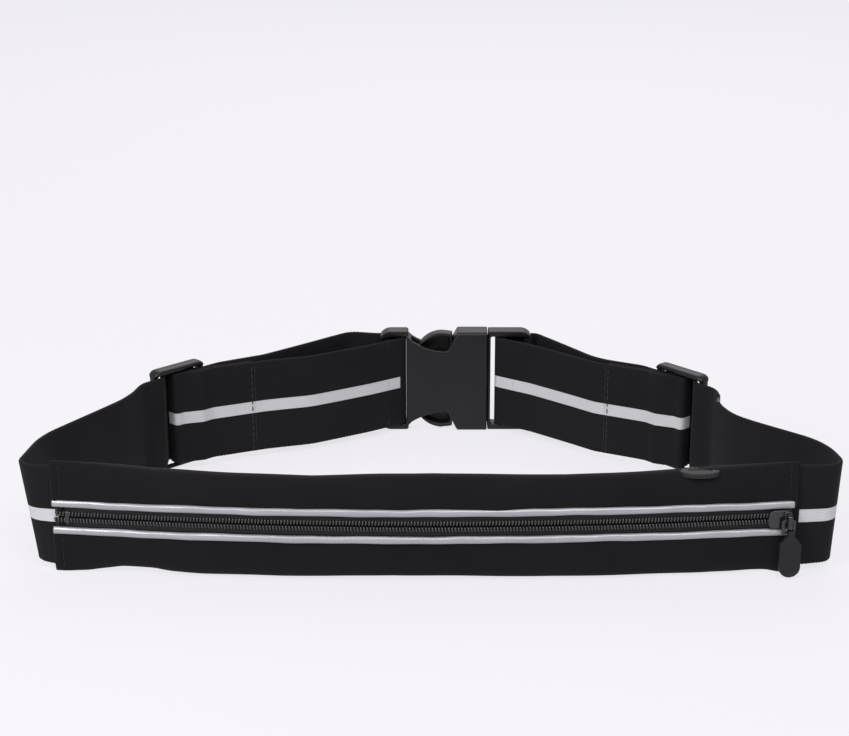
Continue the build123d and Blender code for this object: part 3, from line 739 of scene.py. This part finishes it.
@dataclass
class Pouch(Piece):
    """Stretch pouch: a lofted shell open along the zip, its two end hems and the earphone port."""

    left: float = -141.8
    right: float = 135.2
    end_thick: float = 5.0
    thick: float = 14.0
    taper: float = 30.0
    lip: float = 3.9
    wall: float = 1.1
    bulge: float = 2.7
    stations: int = 330
    around: int = 96

    def outline(self, x: Array) -> tuple[Array, Array]:
        """Lower and upper edge of the pouch along its length, eased between a few stations.

        Args:
            x: stations along the front, in mm.

        Returns:
            Heights of the lower and the upper edge, in mm.
        """
        low_at = [-139, -136, -130, -123, -117, -105, -99, -87, -57, -40, -15, 10, 38, 60, 80, 99, 111, 120,
                  125,
                  130, 136]
        low_z = [0.4, 0.4, 0.7, 1.5, 2.3, 2.1, 1.2, 0.7, 0.6, 0.9, 1.5, 1.1, 0.6, 0.6, 0.5, 0.4, 0.6, 1.3,
                 1.6,
                 0.4, 0.25]
        top_at = [-139, -130, -118, -105, -75, -45, -20, 0, 20, 50, 68, 90, 112, 126, 136]
        top_z = [44.6, 44.0, 42.6, 41.5, 40.8, 40.3, 41.3, 41.8, 41.3, 40.5, 40.9, 41.6, 42.6, 44.0, 44.6]
        fine = np.arange(-145, 142, 0.5)
        kernel = np.hanning(13) / np.hanning(13).sum()
        low = np.convolve(np.pad(np.interp(fine, low_at, low_z), 6, mode="edge"), kernel, mode="valid")
        top = np.convolve(np.pad(np.interp(fine, top_at, top_z), 6, mode="edge"), kernel, mode="valid")
        return np.interp(x, fine, low), np.interp(x, fine, top)

    def shell(self) -> bpy.types.Object:
        """The fabric: a superellipse round each station of the arc, from the upper lip of the zip over the
        top, down the back and up to the lower lip, with sums of sines for the slack of the cloth.

        Returns:
            The pouch as a solidified mesh.
        """
        x = np.linspace(self.left, self.right, self.stations)[:, None]
        low, top = self.outline(x)
        ends = smooth(np.minimum(x - self.left, self.right - x), 0, self.taper)
        depth = self.end_thick - 0.8 + (self.thick - 1.2 - self.end_thick) * ends
        middle, half = (low + top) / 2, (top - low) / 2
        start = np.arcsin(np.clip((MID_Z + self.lip - middle) / half, 0.02, 0.9) ** (self.bulge / 2))
        finish = np.arcsin(np.clip((middle - MID_Z + self.lip) / half, 0.02, 0.9) ** (self.bulge / 2))
        share = np.linspace(0, 1, self.around)[None, :]
        angle = start + (2 * np.pi - finish - start) * share
        c, s = np.cos(angle), np.sin(angle)
        inset = depth / 2 * (1 - np.sign(c) * np.abs(c) ** (2 / self.bulge))
        z = middle + half * np.sign(s) * np.abs(s) ** (2 / self.bulge)
        front = np.clip(c, 0, 1)
        at_end = 1 - ends
        slack = 0.45 * np.sin(x / 17 + z / 9) * np.sin(x / 41 + 1.3) + 0.16 * np.sin(x / 6.1 - z / 5 + 0.7)
        pucker = 0.28 * at_end * np.sin(x / 1.55 + 0.4 * np.sin(z / 6)) * (0.4 + 0.6 * np.abs(s))
        seam = (0.10 * np.exp(-((np.abs(z - MID_Z) - 8.5) / 3.0) ** 2)
                * np.sin(x / 2.3 + np.sin(x / 9)) * front)
        rolled = 0.9 * np.exp(-((np.abs(z - MID_Z) - self.lip) / 0.6) ** 2) * front
        edge = np.minimum(x - self.left, self.right - x)
        welt = 0.55 * np.exp(-((edge - 1.5) / 1.0) ** 2) * c
        moved = inset + (slack + pucker) * (0.35 + 0.65 * ends) + seam + rolled - welt
        px, py = on_arc(x + 0 * angle, np.clip(moved, -0.7, self.thick))
        length = np.linalg.norm(np.diff(np.stack([inset[150], z[150]]), axis=1), axis=0)
        around = np.concatenate([[0], np.cumsum(length)])
        made = grid_mesh("pouch_shell", np.stack([px, py, z], axis=-1) * MM, False, False,
                         ((x[:, 0] - self.left) * MM, around * MM))
        self.outward(made)
        solid = made.modifiers.new("cloth_thickness", "SOLIDIFY")
        solid.thickness = self.wall * MM
        solid.offset = -1
        return made

    def outward(self, made: bpy.types.Object) -> None:
        """Turns the shell's faces away from its inside, by the sense of its front faces.

        Args:
            made: the open shell.
        """
        count = len(made.data.polygons)
        normal, centre = np.empty(count * 3), np.empty(count * 3)
        made.data.polygons.foreach_get("normal", normal)
        made.data.polygons.foreach_get("center", centre)
        highest = centre.reshape(-1, 3)[:, 2] > 0.039
        if normal.reshape(-1, 3)[highest, 2].mean() < 0:
            made.data.flip_normals()

    def build(self) -> None:
        """Makes the shell, hems and port."""
        shell = self.shell()
        self.hand_over(shell, self.finishes.knit, Slot.FABRIC, ("pouch_fabric",), "belt")
        for word in ("left", "right"):
            hem = self.moulded_copy(f"end_hem_{word}", 0.32, 5)
            self.slimmed(hem, -137.6 if word == "left" else 134.6)
            self.hand_over(hem, self.finishes.knit_plain, Slot.FABRIC, (f"end_hem_{word}",), "belt")
        port = self.moulded_copy("earphone_port", 0.2, 3)
        self.port_ribs(port)
        self.hand_over(port, self.finishes.port, Slot.PORT, ("earphone_port",), "belt")

    def slimmed(self, hem: bpy.types.Object, x: float) -> None:
        """Draws a hem in towards its own middle, so that it lies folded inside the end of the shell.

        Args:
            hem: the hem's object.
            x: its place along the front, in mm.
        """
        points = read_points(hem)
        middle = float(on_arc(x, 2.5)[1])
        points[:, 1] = middle + (points[:, 1] - middle) * 0.66
        points[:, 2] = MID_Z + (points[:, 2] - MID_Z) * 0.9
        write_points(hem, points)

    def port_ribs(self, port: bpy.types.Object) -> None:
        """Raises fine ribs on the port's top, as a sine along its length that fades at the slit and the rim.

        Args:
            port: the port's object.
        """
        points = read_points(port)
        cx, cy = on_arc(98.0, 7.0)
        along, across = points[:, 0] - cx, points[:, 1] - cy
        reach = np.sqrt((along / 7.5) ** 2 + (across / 4.2) ** 2)
        level = points[:, 2] - 41.7
        points[:, 2] = 41.3 + level * np.where(level > 0, 0.75, 0.3)
        crown = smooth(points[:, 2], 41.6, 42.2)
        rib = (0.06 * np.sin(along * 2 * np.pi / 1.5) * smooth(reach, 0.95, 0.8)
               * smooth(np.abs(across), 0.7, 1.3))
        points[:, 2] += (rib + 0.3 * (1 - reach ** 2)) * crown
        points += np.array([1.3, -2.4, -0.9])
        write_points(port, points)


@dataclass
class Zip(Piece):
    """Closed coil zip: woven tapes, two rows of interlocked teeth, end stop and reflective piping."""

    left: float = -135.0
    right: float = 133.7
    pitch: float = 1.2
    tooth_length: float = 2.15
    tooth_radius: float = 0.47
    piping_width: float = 2.9
    piping_proud: float = 0.95

    def curved_bar(self, name: str, x: Array, insets: Array, heights: Array) -> bpy.types.Object:
        """Bar whose section is carried along the pouch's arc.

        Args:
            name: name of the object.
            x: stations along the arc, in mm.
            insets: distance behind the front for each station and section point (rows, columns).
            heights: height for each station and section point (rows, columns).

        Returns:
            The capped bar.
        """
        px, py = on_arc(x[:, None] + 0 * insets, insets)
        return grid_mesh(name, np.stack([px, py, heights], axis=-1) * MM, True, True)

    def tape(self, word: str, sign: int) -> None:
        """One woven tape behind the coil.

        Args:
            word: upper or lower.
            sign: 1 above the zip's line and -1 below it.
        """
        x = np.linspace(self.left - 5.8, self.right + 1, 240)
        inset = np.array([1.25, 1.25, 1.32, 1.6, 1.85, 1.85])[None] + 0 * x[:, None]
        rise = np.array([8.4, 0.75, 0.58, 0.55, 0.75, 8.5])[None]
        height = MID_Z + sign * (rise + 0.04 * np.sin(x / 3.1)[:, None])
        made = self.curved_bar(f"tape_{word}", x, inset, height)
        self.hand_over(made, self.finishes.tape, Slot.TAPE, (f"zip_tape_{word}",), "belt")

    def piping(self, word: str, sign: int) -> None:
        """One half-round reflective piping along the lip of the pouch, slightly wavy where it was sewn.

        Args:
            word: upper or lower.
            sign: 1 above the zip's line and -1 below it.
        """
        x = np.linspace(self.left - 6.2, self.right + 0.4, 520)[:, None]
        turn = np.linspace(0, np.pi, 15)[None]
        face = np.abs(np.sin(turn)) ** 0.7
        wave = 0.16 * np.sin(x / 7.3 + sign) + 0.10 * np.sin(x / 2.9 + 2 * sign) + 0.25 * np.sin(x / 38)
        inset = 0.42 - (self.piping_proud + 0.42) * face * (1 + 0.05 * np.sin(x / 2.2))
        rise = self.piping_width / 2 * np.cos(turn) * (1 + 0.04 * np.sin(x / 5.1 + sign))
        height = MID_Z + sign * (self.lip_centre() + rise) + wave * 0.5
        made = self.curved_bar(f"piping_{word}_tape", x[:, 0], inset, height)
        self.hand_over(made, self.finishes.silver, Slot.REFLECTIVE, (f"piping_{word}",), "belt")

    def lip_centre(self) -> float:
        """Height of the piping's middle above the zip's line.

        Returns:
            The height in mm.
        """
        return 3.9 + self.piping_width / 2

    def teeth(self, word: str, sign: int) -> None:
        """One row of coil teeth: small leaning rods, set half a pitch from the other row.

        Args:
            word: upper or lower.
            sign: 1 above the zip's line and -1 below it.
        """
        x = np.arange(self.left - 5.4, self.right - 1, self.pitch) + (self.pitch / 2 if sign > 0 else 0)
        spot = MID_Z + sign * 1.22 + 0 * x
        px, py = on_arc(x, 0.35 + 0 * x)
        angle = np.arcsin(x / ARC_RADIUS)
        out = np.stack([np.sin(angle), -np.cos(angle), 0 * angle], axis=1)
        along = np.stack([np.cos(angle), np.sin(angle), 0 * angle], axis=1)
        lean = 0.16
        up = np.array([[0, 0, float(sign)]]) * math.cos(lean) + along * math.sin(lean)
        side = np.cross(up, out)
        shape, faces = capsule(self.tooth_length * MM, self.tooth_radius * MM, 1.35)
        axes = np.stack([up, side, out], axis=1)
        made = repeated(f"teeth_{word}", shape, faces, axes, np.stack([px, py, spot], axis=1) * MM)
        self.hand_over(made, self.finishes.coil, Slot.COIL, (f"zip_coil_{word}",), "belt")

    def build(self) -> None:
        """Makes tapes, teeth, piping and the end stop."""
        for word, sign in (("upper", 1), ("lower", -1)):
            self.tape(word, sign)
            self.teeth(word, sign)
            self.piping(word, sign)
        stop = self.moulded_copy("zip_end_stop", 0.14, 3)
        self.hand_over(stop, self.finishes.slider, Slot.COIL, ("zip_end_stop",), "belt")


@dataclass
class Pull(Piece):
    """Slider, wire link and rubber tab."""

    rim: float = 0.9
    recess: float = 0.32

    def build(self) -> None:
        """Makes the slider, link and tab."""
        slider = self.moulded_copy("zip_slider", 0.16, 4)
        self.hand_over(slider, self.finishes.slider, Slot.SLIDER, ("zip_slider",), "slider")
        link = self.moulded_copy("pull_link", 0.11, 6)
        self.hand_over(link, self.finishes.slider, Slot.SLIDER, ("pull_link",), "link")
        tab = self.moulded_copy("pull_tab", 0.17, 5)
        self.recessed(tab)
        self.hand_over(tab, self.finishes.rubber, Slot.RUBBER, ("pull_tab",), "tab")

    def recessed(self, tab: bpy.types.Object) -> None:
        """Sinks the middle of the tab's front, so that a rim stands round its edge.

        Args:
            tab: the tab's object.
        """
        low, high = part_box("pull_tab")
        points = read_points(tab)
        cx, cz = (low.x + high.x) / 2 / MM, low.z / MM + 3.7
        along, rise = points[:, 0] - cx, points[:, 2] - cz
        half = 3.7 - 2.4 * smooth(rise, 8.6, 11.6)
        below = np.sqrt(along ** 2 + np.minimum(rise, 0) ** 2)
        margin = np.where(rise < 0, 3.7 - below, half - np.abs(along))
        front = smooth((low.y + high.y) / 2 / MM - points[:, 1] - 0.13 * along, 0.1, 0.7)
        sunk = self.recess * smooth(margin, self.rim - 0.2, self.rim + 0.3) * smooth(rise, 10.5, 9.0) * front
        points[:, 1] += sunk
        points[:, 0] = cx + 1.1 + along * 1.09
        points[:, 2] = 0.6 + (points[:, 2] - low.z / MM) * 1.035
        write_points(tab, points)


@dataclass
class Ribbon:
    """One stretch of webbing that stands on edge and follows a plan curve."""

    name: str
    points: list[Plan]
    radii: list[float]
    stripe: int
    drop: tuple[float, float] = (0.0, 0.0)
    lean: tuple[float, float, float] = (0.0, 0.0, 1.0)
    keep: tuple[float, float] = (0.0, 0.0)
    dip: float = 0.0
    # Span, in mm back from the ribbon's end, where the stripe is left off as painted shade.
    plain: tuple[float, float] = (0.0, 0.0)
    half: float = 20.0
    step: float = 0.35

    def section(self) -> tuple[Array, Array]:
        """Outline of the webbing's section: two flat faces joined by rounded edges.

        Returns:
            Offsets across the thickness and heights from the middle, in mm, once round.
        """
        bend = WEB_THICK / 2
        straight = np.linspace(-(self.half - bend), self.half - bend, 25)
        turn = np.linspace(0, np.pi, 6)[1:-1]
        across = np.concatenate([0 * straight + bend, bend * np.cos(turn), 0 * straight - bend,
                                 -bend * np.cos(turn)])
        height = np.concatenate([straight, self.half - bend + bend * np.sin(turn), straight[::-1],
                                 -(self.half - bend) - bend * np.sin(turn)])
        return across, height

    def build(self) -> bpy.types.Object:
        """Carries the section along the curve, with ribbed edges, a lean at the corner and a slow drop.

        Returns:
            The ribbon with a stripe_face attribute that is 1 on the striped face, save where the stripe is
            left off as painted shade.
        """
        position, normal, along = rounded_path(self.points, self.radii, self.step)
        whole = along[-1]
        inside = (along >= self.keep[0]) & (along <= along[-1] + self.keep[1])
        position, normal, along = position[inside], normal[inside], along[inside]
        across, height = self.section()
        share = smooth(along, along[0], along[-1])
        fall = self.drop[0] + (self.drop[1] - self.drop[0]) * share
        fall = fall - self.dip * smooth(whole - along, 1, 14) * smooth(whole - along, 85, 22)
        rib = np.sin(2 * np.pi * along / 1.4)[:, None] * smooth(np.abs(height), 17.2, 18.0)[None]
        spread = across[None] * (1 + 0.05 * rib)
        rise = height[None] * (1 + 0.004 * rib * smooth(np.abs(height), 19, 20)[None])
        ends = smooth(along, along[0] + 2, along[0] + 14) * smooth(along, along[-1] - 2, along[-1] - 14)
        slack = 0.12 * np.sin(along / 11 + 1.0) * ends
        lean = math.radians(self.lean[0]) * np.exp(-((along - self.lean[1]) / self.lean[2]) ** 2)
        tip = (height - self.half)[None] * np.tan(lean * smooth(along, 1, 12))[:, None]
        away = spread + tip + slack[:, None]
        plan = position[:, None, :] + normal[:, None, :] * away[..., None]
        z = MID_Z + rise + fall[:, None]
        points = np.concatenate([plan, z[..., None]], axis=-1) * MM
        edge = np.concatenate([height, height[:1]])
        made = grid_mesh(self.name, points, True, True, (along * MM, edge * MM))
        mark = ((across * self.stripe) > 0.5 * WEB_THICK * 0.9).astype(np.float32)
        # Painted shade: the stripe is left off across this span, so that the webbing folded round the
        # buckle's bar reads dark.
        stripe_outside_shade = ~((whole - along > self.plain[0]) & (whole - along < self.plain[1]))
        face = (mark[None] * stripe_outside_shade[:, None]).astype(np.float32).ravel()
        made.data.attributes.new("stripe_face", "FLOAT", "POINT").data.foreach_set("value", face)
        return made


@dataclass
class Strap(Piece):
    """All the webbing of one side, the adjuster it runs through and its stitching."""

    side: Side = Side.LEFT
    centre: Plan = (-106.5, 32.0)
    angle: float = 44.0
    pouch_x: float = -137.9
    plan: tuple[Plan, ...] = ()
    corner_radius: float = 5.0
    outer: tuple[Plan, ...] = ()
    in_bend: Plan = (0.0, 0.0)
    bar_x: float = 0.0
    fold_x: float = 0.0
    lean: tuple[float, float, float] = (0.0, 0.0, 1.0)
    dip: float = 0.0
    # Span back from the outer ribbon's end, by the fold round the buckle's bar, where its stripe is left off
    # as painted shade.
    plain: tuple[float, float] = (0.0, 0.0)
    drop: float = 0.1
    length: float = 26.5
    bar: float = 3.0
    middle_bar: float = 3.6
    thick: float = 3.2
    tail_length: float = 19.0
    tail_turn: float = 20.0
    weave_reach: float = 15.5
    straight: float = 4.5

    @property
    def word(self) -> str:
        """Name of the side, as the CAD nodes spell it."""
        return self.side.name.lower()

    @property
    def layer(self) -> float:
        """Pitch of two sewn layers, in mm."""
        return WEB_THICK + 2 * SEWN_GAP

    def at(self, along: float, out: float) -> Plan:
        """Plan point in the adjuster's own directions.

        Args:
            along: distance from its middle towards the buckle, in mm.
            out: distance towards the outside of the loop, in mm.

        Returns:
            The plan point in mm.
        """
        c, s = math.cos(math.radians(self.angle)), math.sin(math.radians(self.angle))
        sense = self.side.value
        return (self.centre[0] + along * c - sense * out * s, self.centre[1] + along * s + sense * out * c)

    def point(self, along: float) -> tuple[float, float, float]:
        """The same point in metres, at the middle's height.

        Args:
            along: distance from the adjuster's middle, in mm.

        Returns:
            A point in the row frame.
        """
        x, y = self.at(along, 0)
        return (x * MM, y * MM, MID_Z * MM)

    def turned(self, out: float, reach: float) -> Plan:
        """Plan point on the sewn tail, past the knee where it leaves the adjuster.

        Args:
            out: offset of the layer.
            reach: distance past the knee.

        Returns:
            The plan point in mm.
        """
        inner = -(self.thick / 2 + 2 * SEWN_GAP + WEB_THICK / 2) - 2 * self.layer
        knee = self.length / 2 + (out - inner) * math.sin(math.radians(self.tail_turn / 2))
        turn = math.radians(self.tail_turn)
        return self.at(knee + reach * math.cos(turn), out - reach * math.sin(turn))

    def fold(self) -> list[Plan]:
        """Corners of the webbing round the buckle's bar.

        Returns:
            Plan points in mm.
        """
        out = 2.0 + 2 * SEWN_GAP + WEB_THICK / 2
        sense = -self.side.value
        away = (sense * math.cos(math.radians(36)), -math.sin(math.radians(36)))
        return [(self.bar_x + sense * 2.0, BUCKLE_Y + out + 0.3), (self.fold_x, BUCKLE_Y + out),
                (self.fold_x, BUCKLE_Y - out), (self.fold_x + 9 * away[0], BUCKLE_Y - out + 9 * away[1])]

    def ribbons(self) -> list[Ribbon]:
        """Routes of the strap's stretches, from the pouch to the buckle and back to the sewn end.

        Returns:
            The ribbons, named for the CAD nodes they replace.
        """
        over = self.thick / 2 + 2 * SEWN_GAP + WEB_THICK / 2
        under, tail, inner = -over, -over - self.layer, -over - 2 * self.layer
        beside_bar = self.middle_bar / 2 + 2 * SEWN_GAP + WEB_THICK / 2
        slot_end = self.length / 2 - self.bar
        run, at, face, fold = self.weave_reach + self.straight, self.at, self.side.value, self.fold()
        crest = over + self.layer
        pouch_x, pouch_y = on_arc(self.pouch_x, 2.5)
        corner, end = fold[-2], fold[-1]
        approach = (2 * end[0] - corner[0], 2 * end[1] - corner[1])
        route = [(float(pouch_x), float(pouch_y)), *self.plan, at(-run, under), at(-self.weave_reach, under)]
        radii = [self.corner_radius, 50, 40, 11]
        name = f"webbing_{self.word}_"
        side = Ribbon(name + "side", route, radii, face, (0, self.drop), self.lean, dip=self.dip)
        made = [side]
        if self.side is Side.RIGHT:
            side.keep = (0.0, -12.5)
            side.drop = (0, self.drop)
            made.append(Ribbon(name + "side_end", route, radii, face, (self.drop, self.drop), (0, 0, 1),
                               (self.route_length(route, radii) - 12.5, 0.0)))
        made += [
            Ribbon(name + "weave",
                   [at(SEWN_GAP - self.weave_reach, under), at(0.35 - slot_end, under), at(-3.6, crest),
                    at(3.6, crest), at(slot_end - 0.35, under), at(self.weave_reach - SEWN_GAP, under)],
                   [1.8, 2.0, 2.0, 1.8], face, (self.drop, self.drop)),
            # The outer stretch leaves its stripe off near the fold as painted shade.
            Ribbon(name + "outer", [at(self.weave_reach, under), at(run, under), *self.outer, *fold],
                   [14, 30, 8, 3, 1.2, 1.2], face, (self.drop, 0), plain=self.plain),
            Ribbon(name + "sewn_end",
                   [self.turned(inner, self.tail_length), self.turned(inner, 0), at(8.0, inner),
                    at(0.6, under), at(-beside_bar, under), at(-beside_bar, over), at(beside_bar, over),
                    at(beside_bar, -0.6), at(9.0, tail), self.turned(tail, 0), self.turned(tail,
                                                                                           self.tail_length)],
                   [8, 2.0, 2.0, 1.0, 1.0, 1.0, 1.0, 1.4, 8], face, (self.drop, self.drop)),
            Ribbon(name + "inner",
                   [self.turned(inner, self.tail_length + SEWN_GAP),
                    self.turned(inner, self.tail_length + self.straight), self.in_bend, approach, end],
                   [12, 30, 16], -face, (self.drop, 0)),
        ]
        return made

    def route_length(self, route: list[Plan], radii: list[float]) -> float:
        """Length of a route, so that its last stretch can be cut off.

        Args:
            route: its corners.
            radii: its radii.

        Returns:
            Length in mm.
        """
        return float(rounded_path(route, radii, 0.35)[2][-1])

    def attach(self, made: bpy.types.Object, part: str) -> None:
        """Lets a stretch of webbing ride on its adjuster, or bakes its placement into its mesh.

        Args:
            made: the ribbon's object.
            part: side, side_end, weave, outer, sewn_end or inner.
        """
        slide = f"{self.word}_adjuster"
        if part in ("weave", "sewn_end"):
            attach(made, slide)
        elif part == "side" and self.side is Side.LEFT:
            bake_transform(made)
        elif part == "side":
            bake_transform(made)
        elif part == "side_end":
            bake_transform(made)
        elif part == "outer":
            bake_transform(made)
        else:
            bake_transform(made)

    def turned_point(self, reach: float) -> tuple[float, float, float]:
        """Point on the sewn tail's line, in metres.

        Args:
            reach: distance past the knee, in mm.

        Returns:
            A point in the row frame.
        """
        x, y = self.turned(-9.0, reach)
        return (x * MM, y * MM, MID_Z * MM)

    def thicken(self, adjuster: bpy.types.Object) -> None:
        """Swells the adjuster's upper side bar across its thickness and slims the lower one, each by height.

        Args:
            adjuster: the adjuster's object.
        """
        points = read_points(adjuster)
        turn = math.radians(self.angle)
        normal = np.array([-math.sin(turn), math.cos(turn)])
        offset = (points[:, :2] - np.array(self.centre)) @ normal
        more = 0.75 * smooth(points[:, 2] - MID_Z, 19.8, 21.4)
        points[:, :2] += (offset * more)[:, None] * normal
        points[:, 2] = np.where(points[:, 2] < 2.8, 2.8 - (2.8 - points[:, 2]) * 0.45, points[:, 2])
        write_points(adjuster, points)

    def stitches(self) -> None:
        """A row of thread across the end of the sewn tail, standing just proud of its inner face."""
        inner = -(self.thick / 2 + 2 * SEWN_GAP + WEB_THICK / 2) - 2 * self.layer
        face = inner - WEB_THICK / 2 - 0.02
        z = np.arange(-18, 18.1, 2.9)
        rows = np.array([self.turned(face, 17.6)])
        spots = np.concatenate([
            np.stack([0 * z + row[0], 0 * z + row[1], MID_Z + self.drop + z], axis=1) for row in rows])
        normal = np.array(self.turned(face, 10)) - np.array(self.turned(face + 1, 10))
        out = np.array([normal[0], normal[1], 0]) / np.linalg.norm(normal)
        up = np.array([0, 0, 1.0])
        axes = np.broadcast_to(np.stack([up, np.cross(out, up), out]), (len(spots), 3, 3))
        shape, faces = capsule(2.3 * MM, 0.30 * MM, 0.8)
        made = repeated(f"tail_stitches_{self.word}", shape, faces, axes, spots * MM)
        self.hand_over(made, self.finishes.thread, Slot.WEBBING, (), f"{self.word}_adjuster")

    def build(self) -> None:
        """Makes the ribbons, the adjuster and the stitches."""
        for ribbon in self.ribbons():
            made = ribbon.build()
            part = ribbon.name.split("_", 2)[2]
            made.name = f"strap_{self.word}_{part}"
            node = f"webbing_{self.word}_" + ("side" if part == "side_end" else part)
            self.hand_over(made, self.finishes.webbing, Slot.WEBBING, (node,))
            self.attach(made, part)
        adjuster = self.moulded_copy(f"adjuster_{self.word}", 0.36, 6)
        self.thicken(adjuster)
        self.hand_over(adjuster, self.finishes.plastic, Slot.PLASTIC, (f"adjuster_{self.word}",),
                       f"{self.word}_adjuster")
        self.stitches()


@dataclass
class Buckle(Piece):
    """Side-release buckle: socket, plug and two sprung latch arms."""

    voxel: float = 0.36
    passes: int = 5

    def build(self) -> None:
        """Makes the four mouldings."""
        for node, body in (("buckle_socket", "belt"), ("buckle_plug", "plug_half"),
                           ("latch_arm_upper", "arm_upper"), ("latch_arm_lower", "arm_lower")):
            made = self.moulded_copy(node, self.voxel, self.passes)
            if node.startswith("latch"):
                self.hollowed(made)
            if node == "buckle_socket":
                self.rounded_hump(made)
            self.hand_over(made, self.finishes.plastic, Slot.PLASTIC, (node,), body)


    def hollowed(self, arm: bpy.types.Object) -> None:
        """Sinks the front of a latch arm's head, so that its outer rim stands as a thin arch.

        Args:
            arm: the arm's object.
        """
        points = read_points(arm)
        rise = np.abs(points[:, 2] - MID_Z)
        cell = np.clip(((points[:, 0] + 20) / 0.5).astype(int), 0, 160)
        crest = np.zeros(161)
        np.maximum.at(crest, cell, rise)
        reach = crest[cell] - rise
        front = smooth(BUCKLE_Y - points[:, 1], 0.6, 2.2)
        depth = 4.4 * smooth(reach, 1.5, 2.3) * smooth(points[:, 0], 8.4, 7.4) * front
        points[:, 1] += depth
        write_points(arm, points)

    def rounded_hump(self, socket: bpy.types.Object) -> None:
        """Rounds the outer corners of the socket's strap frame, as a parabola in the distance to its end.

        Args:
            socket: the socket's object.
        """
        points = read_points(socket)
        rise = points[:, 2] - MID_Z
        near = np.clip((-17.8 - points[:, 0]) / 4.8, 0, 1.2)
        points[:, 2] -= np.sign(rise) * 2.6 * near ** 2 * smooth(np.abs(rise), 17.0, 21.5)
        write_points(socket, points)


@dataclass
class HemStitches(Piece):
    """Rows of thread that close the pouch's ends."""

    step: float = 2.6

    def build(self) -> None:
        """Makes one straight row beside each end of the pouch, on the webbing it is sewn to."""
        z = np.arange(-19.5, 19.6, self.step)
        for word, x0 in (("left", -138.2), ("right", 132.4)):
            x = x0 + 0 * z
            px, py = on_arc(x, -0.05 + 0.5 * np.abs(z / 21) ** 4)
            angle = np.arcsin(x / ARC_RADIUS)
            out = np.stack([np.sin(angle), -np.cos(angle), 0 * z], axis=1)
            tangent = np.stack([np.cos(angle), np.sin(angle), 0 * z], axis=1)
            tilt = 0 * z[:, None]
            run = np.array([[0, 0, 1.0]]) * np.cos(tilt) + tangent * np.sin(tilt)
            axes = np.stack([run, np.cross(out, run), out], axis=1)
            shape, faces = capsule(1.9 * MM, 0.10 * MM, 0.6)
            made = repeated(f"hem_stitches_{word}", shape, faces, axes,
                            np.stack([px, py, MID_Z + z], axis=1) * MM)
            self.hand_over(made, self.finishes.thread, Slot.FABRIC, (), "belt")


@dataclass
class Studio:
    """Pale floor, soft lights and the camera."""

    pale: tuple[float, float, float] = (0.10, 0.098, 0.103)
    glow: tuple[float, float, float] = (0.745, 0.731, 0.77)
    elevation: float = 20.7
    lens: float = 89.05
    shift: float = 0.0965

    def build(self) -> None:
        """Makes the floor, world, lights and camera."""
        scene = bpy.context.scene
        scene.view_settings.view_transform = "Standard"
        material = bpy.data.materials.new("floor")
        material.use_nodes = True
        shader = material.node_tree.nodes["Principled BSDF"]
        shader.inputs["Base Color"].default_value = (*self.pale, 1)
        shader.inputs["Roughness"].default_value = 0.95
        shader.inputs["Emission Color"].default_value = (*self.glow, 1)
        shader.inputs["Emission Strength"].default_value = 1.0
        corners = np.array([[-6, -3, 0], [6, -3, 0], [6, 12, 0], [-6, 12, 0]], float)
        mesh = bpy.data.meshes.new("floor")
        mesh.from_pydata(corners, [], [[0, 1, 2, 3]])
        mesh.materials.append(material)
        floor = bpy.data.objects.new("floor", mesh)
        scene.collection.objects.link(floor)
        world = bpy.data.worlds.new("studio")
        world.use_nodes = True
        background = world.node_tree.nodes["Background"]
        background.inputs["Color"].default_value = (0.93, 0.92, 0.96, 1)
        background.inputs["Strength"].default_value = 0.6
        scene.world = world
        self.lamp("key", (0.25, -0.75, 0.95), 7.0, 0.7)
        self.lamp("fill", (-0.55, -0.62, 0.55), 6.0, 0.4)
        self.lamp("back", (0.1, 0.9, 0.9), 6.0, 0.9)
        self.camera()

    def lamp(self, name: str, place: tuple[float, float, float], power: float, size: float) -> None:
        """One soft square light aimed at the pack.

        Args:
            name: name of the light.
            place: where it stands, in metres.
            power: in watts.
            size: length of its side, in metres.
        """
        data = bpy.data.lights.new(name, "AREA")
        data.energy = power
        data.size = size
        light = bpy.data.objects.new(name, data)
        light.location = place
        light.rotation_euler = (Vector((0, 0, 0.02)) - Vector(place)).to_track_quat("-Z", "Y").to_euler()
        bpy.context.scene.collection.objects.link(light)

    def camera(self) -> None:
        """Camera at the height and angle of someone standing in front of the pack."""
        data = bpy.data.cameras.new("camera")
        data.lens = self.lens
        data.sensor_width = 36.0
        data.shift_y = self.shift
        data.clip_start = 0.05
        view = bpy.data.objects.new("camera", data)
        view.location = (-0.003, -0.8001, 0.3224)
        view.rotation_euler = (math.radians(90 - self.elevation), 0, 0)
        bpy.context.scene.collection.objects.link(view)
        bpy.context.scene.camera = view


def main() -> None:
    """Builds the pack, piece by piece, and the studio round it."""
    logging.basicConfig(level=logging.INFO, format="%(name)s %(message)s")
    finishes = Wardrobe()
    pieces = [
        Pouch(finishes),
        Zip(finishes),
        Pull(finishes),
        HemStitches(finishes),
        # The left strap's outer webbing leaves its stripe off near the buckle's bar as painted shade.
        Strap(finishes, side=Side.LEFT, plan=((-154.4, -76.6), (-150.2, -45), (-124.6, 1)),
              outer=((-72, 54.6), (-36, 87.6)), in_bend=(-52, 52.5), bar_x=-22.6, fold_x=-11.9,
              corner_radius=7.0, lean=(9.0, 32.0, 34.0), dip=1.2, plain=(6.2, 11.5)),
        Strap(finishes, side=Side.RIGHT, centre=(104.0, 27.0), angle=132.0, pouch_x=134.9,
              plan=((153.2, -76.4), (149.6, -53), (116.5, -8)), corner_radius=7.0,
              outer=((70, 50), (52, 77)), in_bend=(62, 51.5), bar_x=44.3, fold_x=28.85,
              lean=(-4.0, 36.0, 34.0), dip=3.0),
        Buckle(finishes),
        Studio(),
    ]
    for piece in pieces:
        piece.build()
        log.info("built %s", type(piece).__name__)


if __name__ == "__main__":
    main()
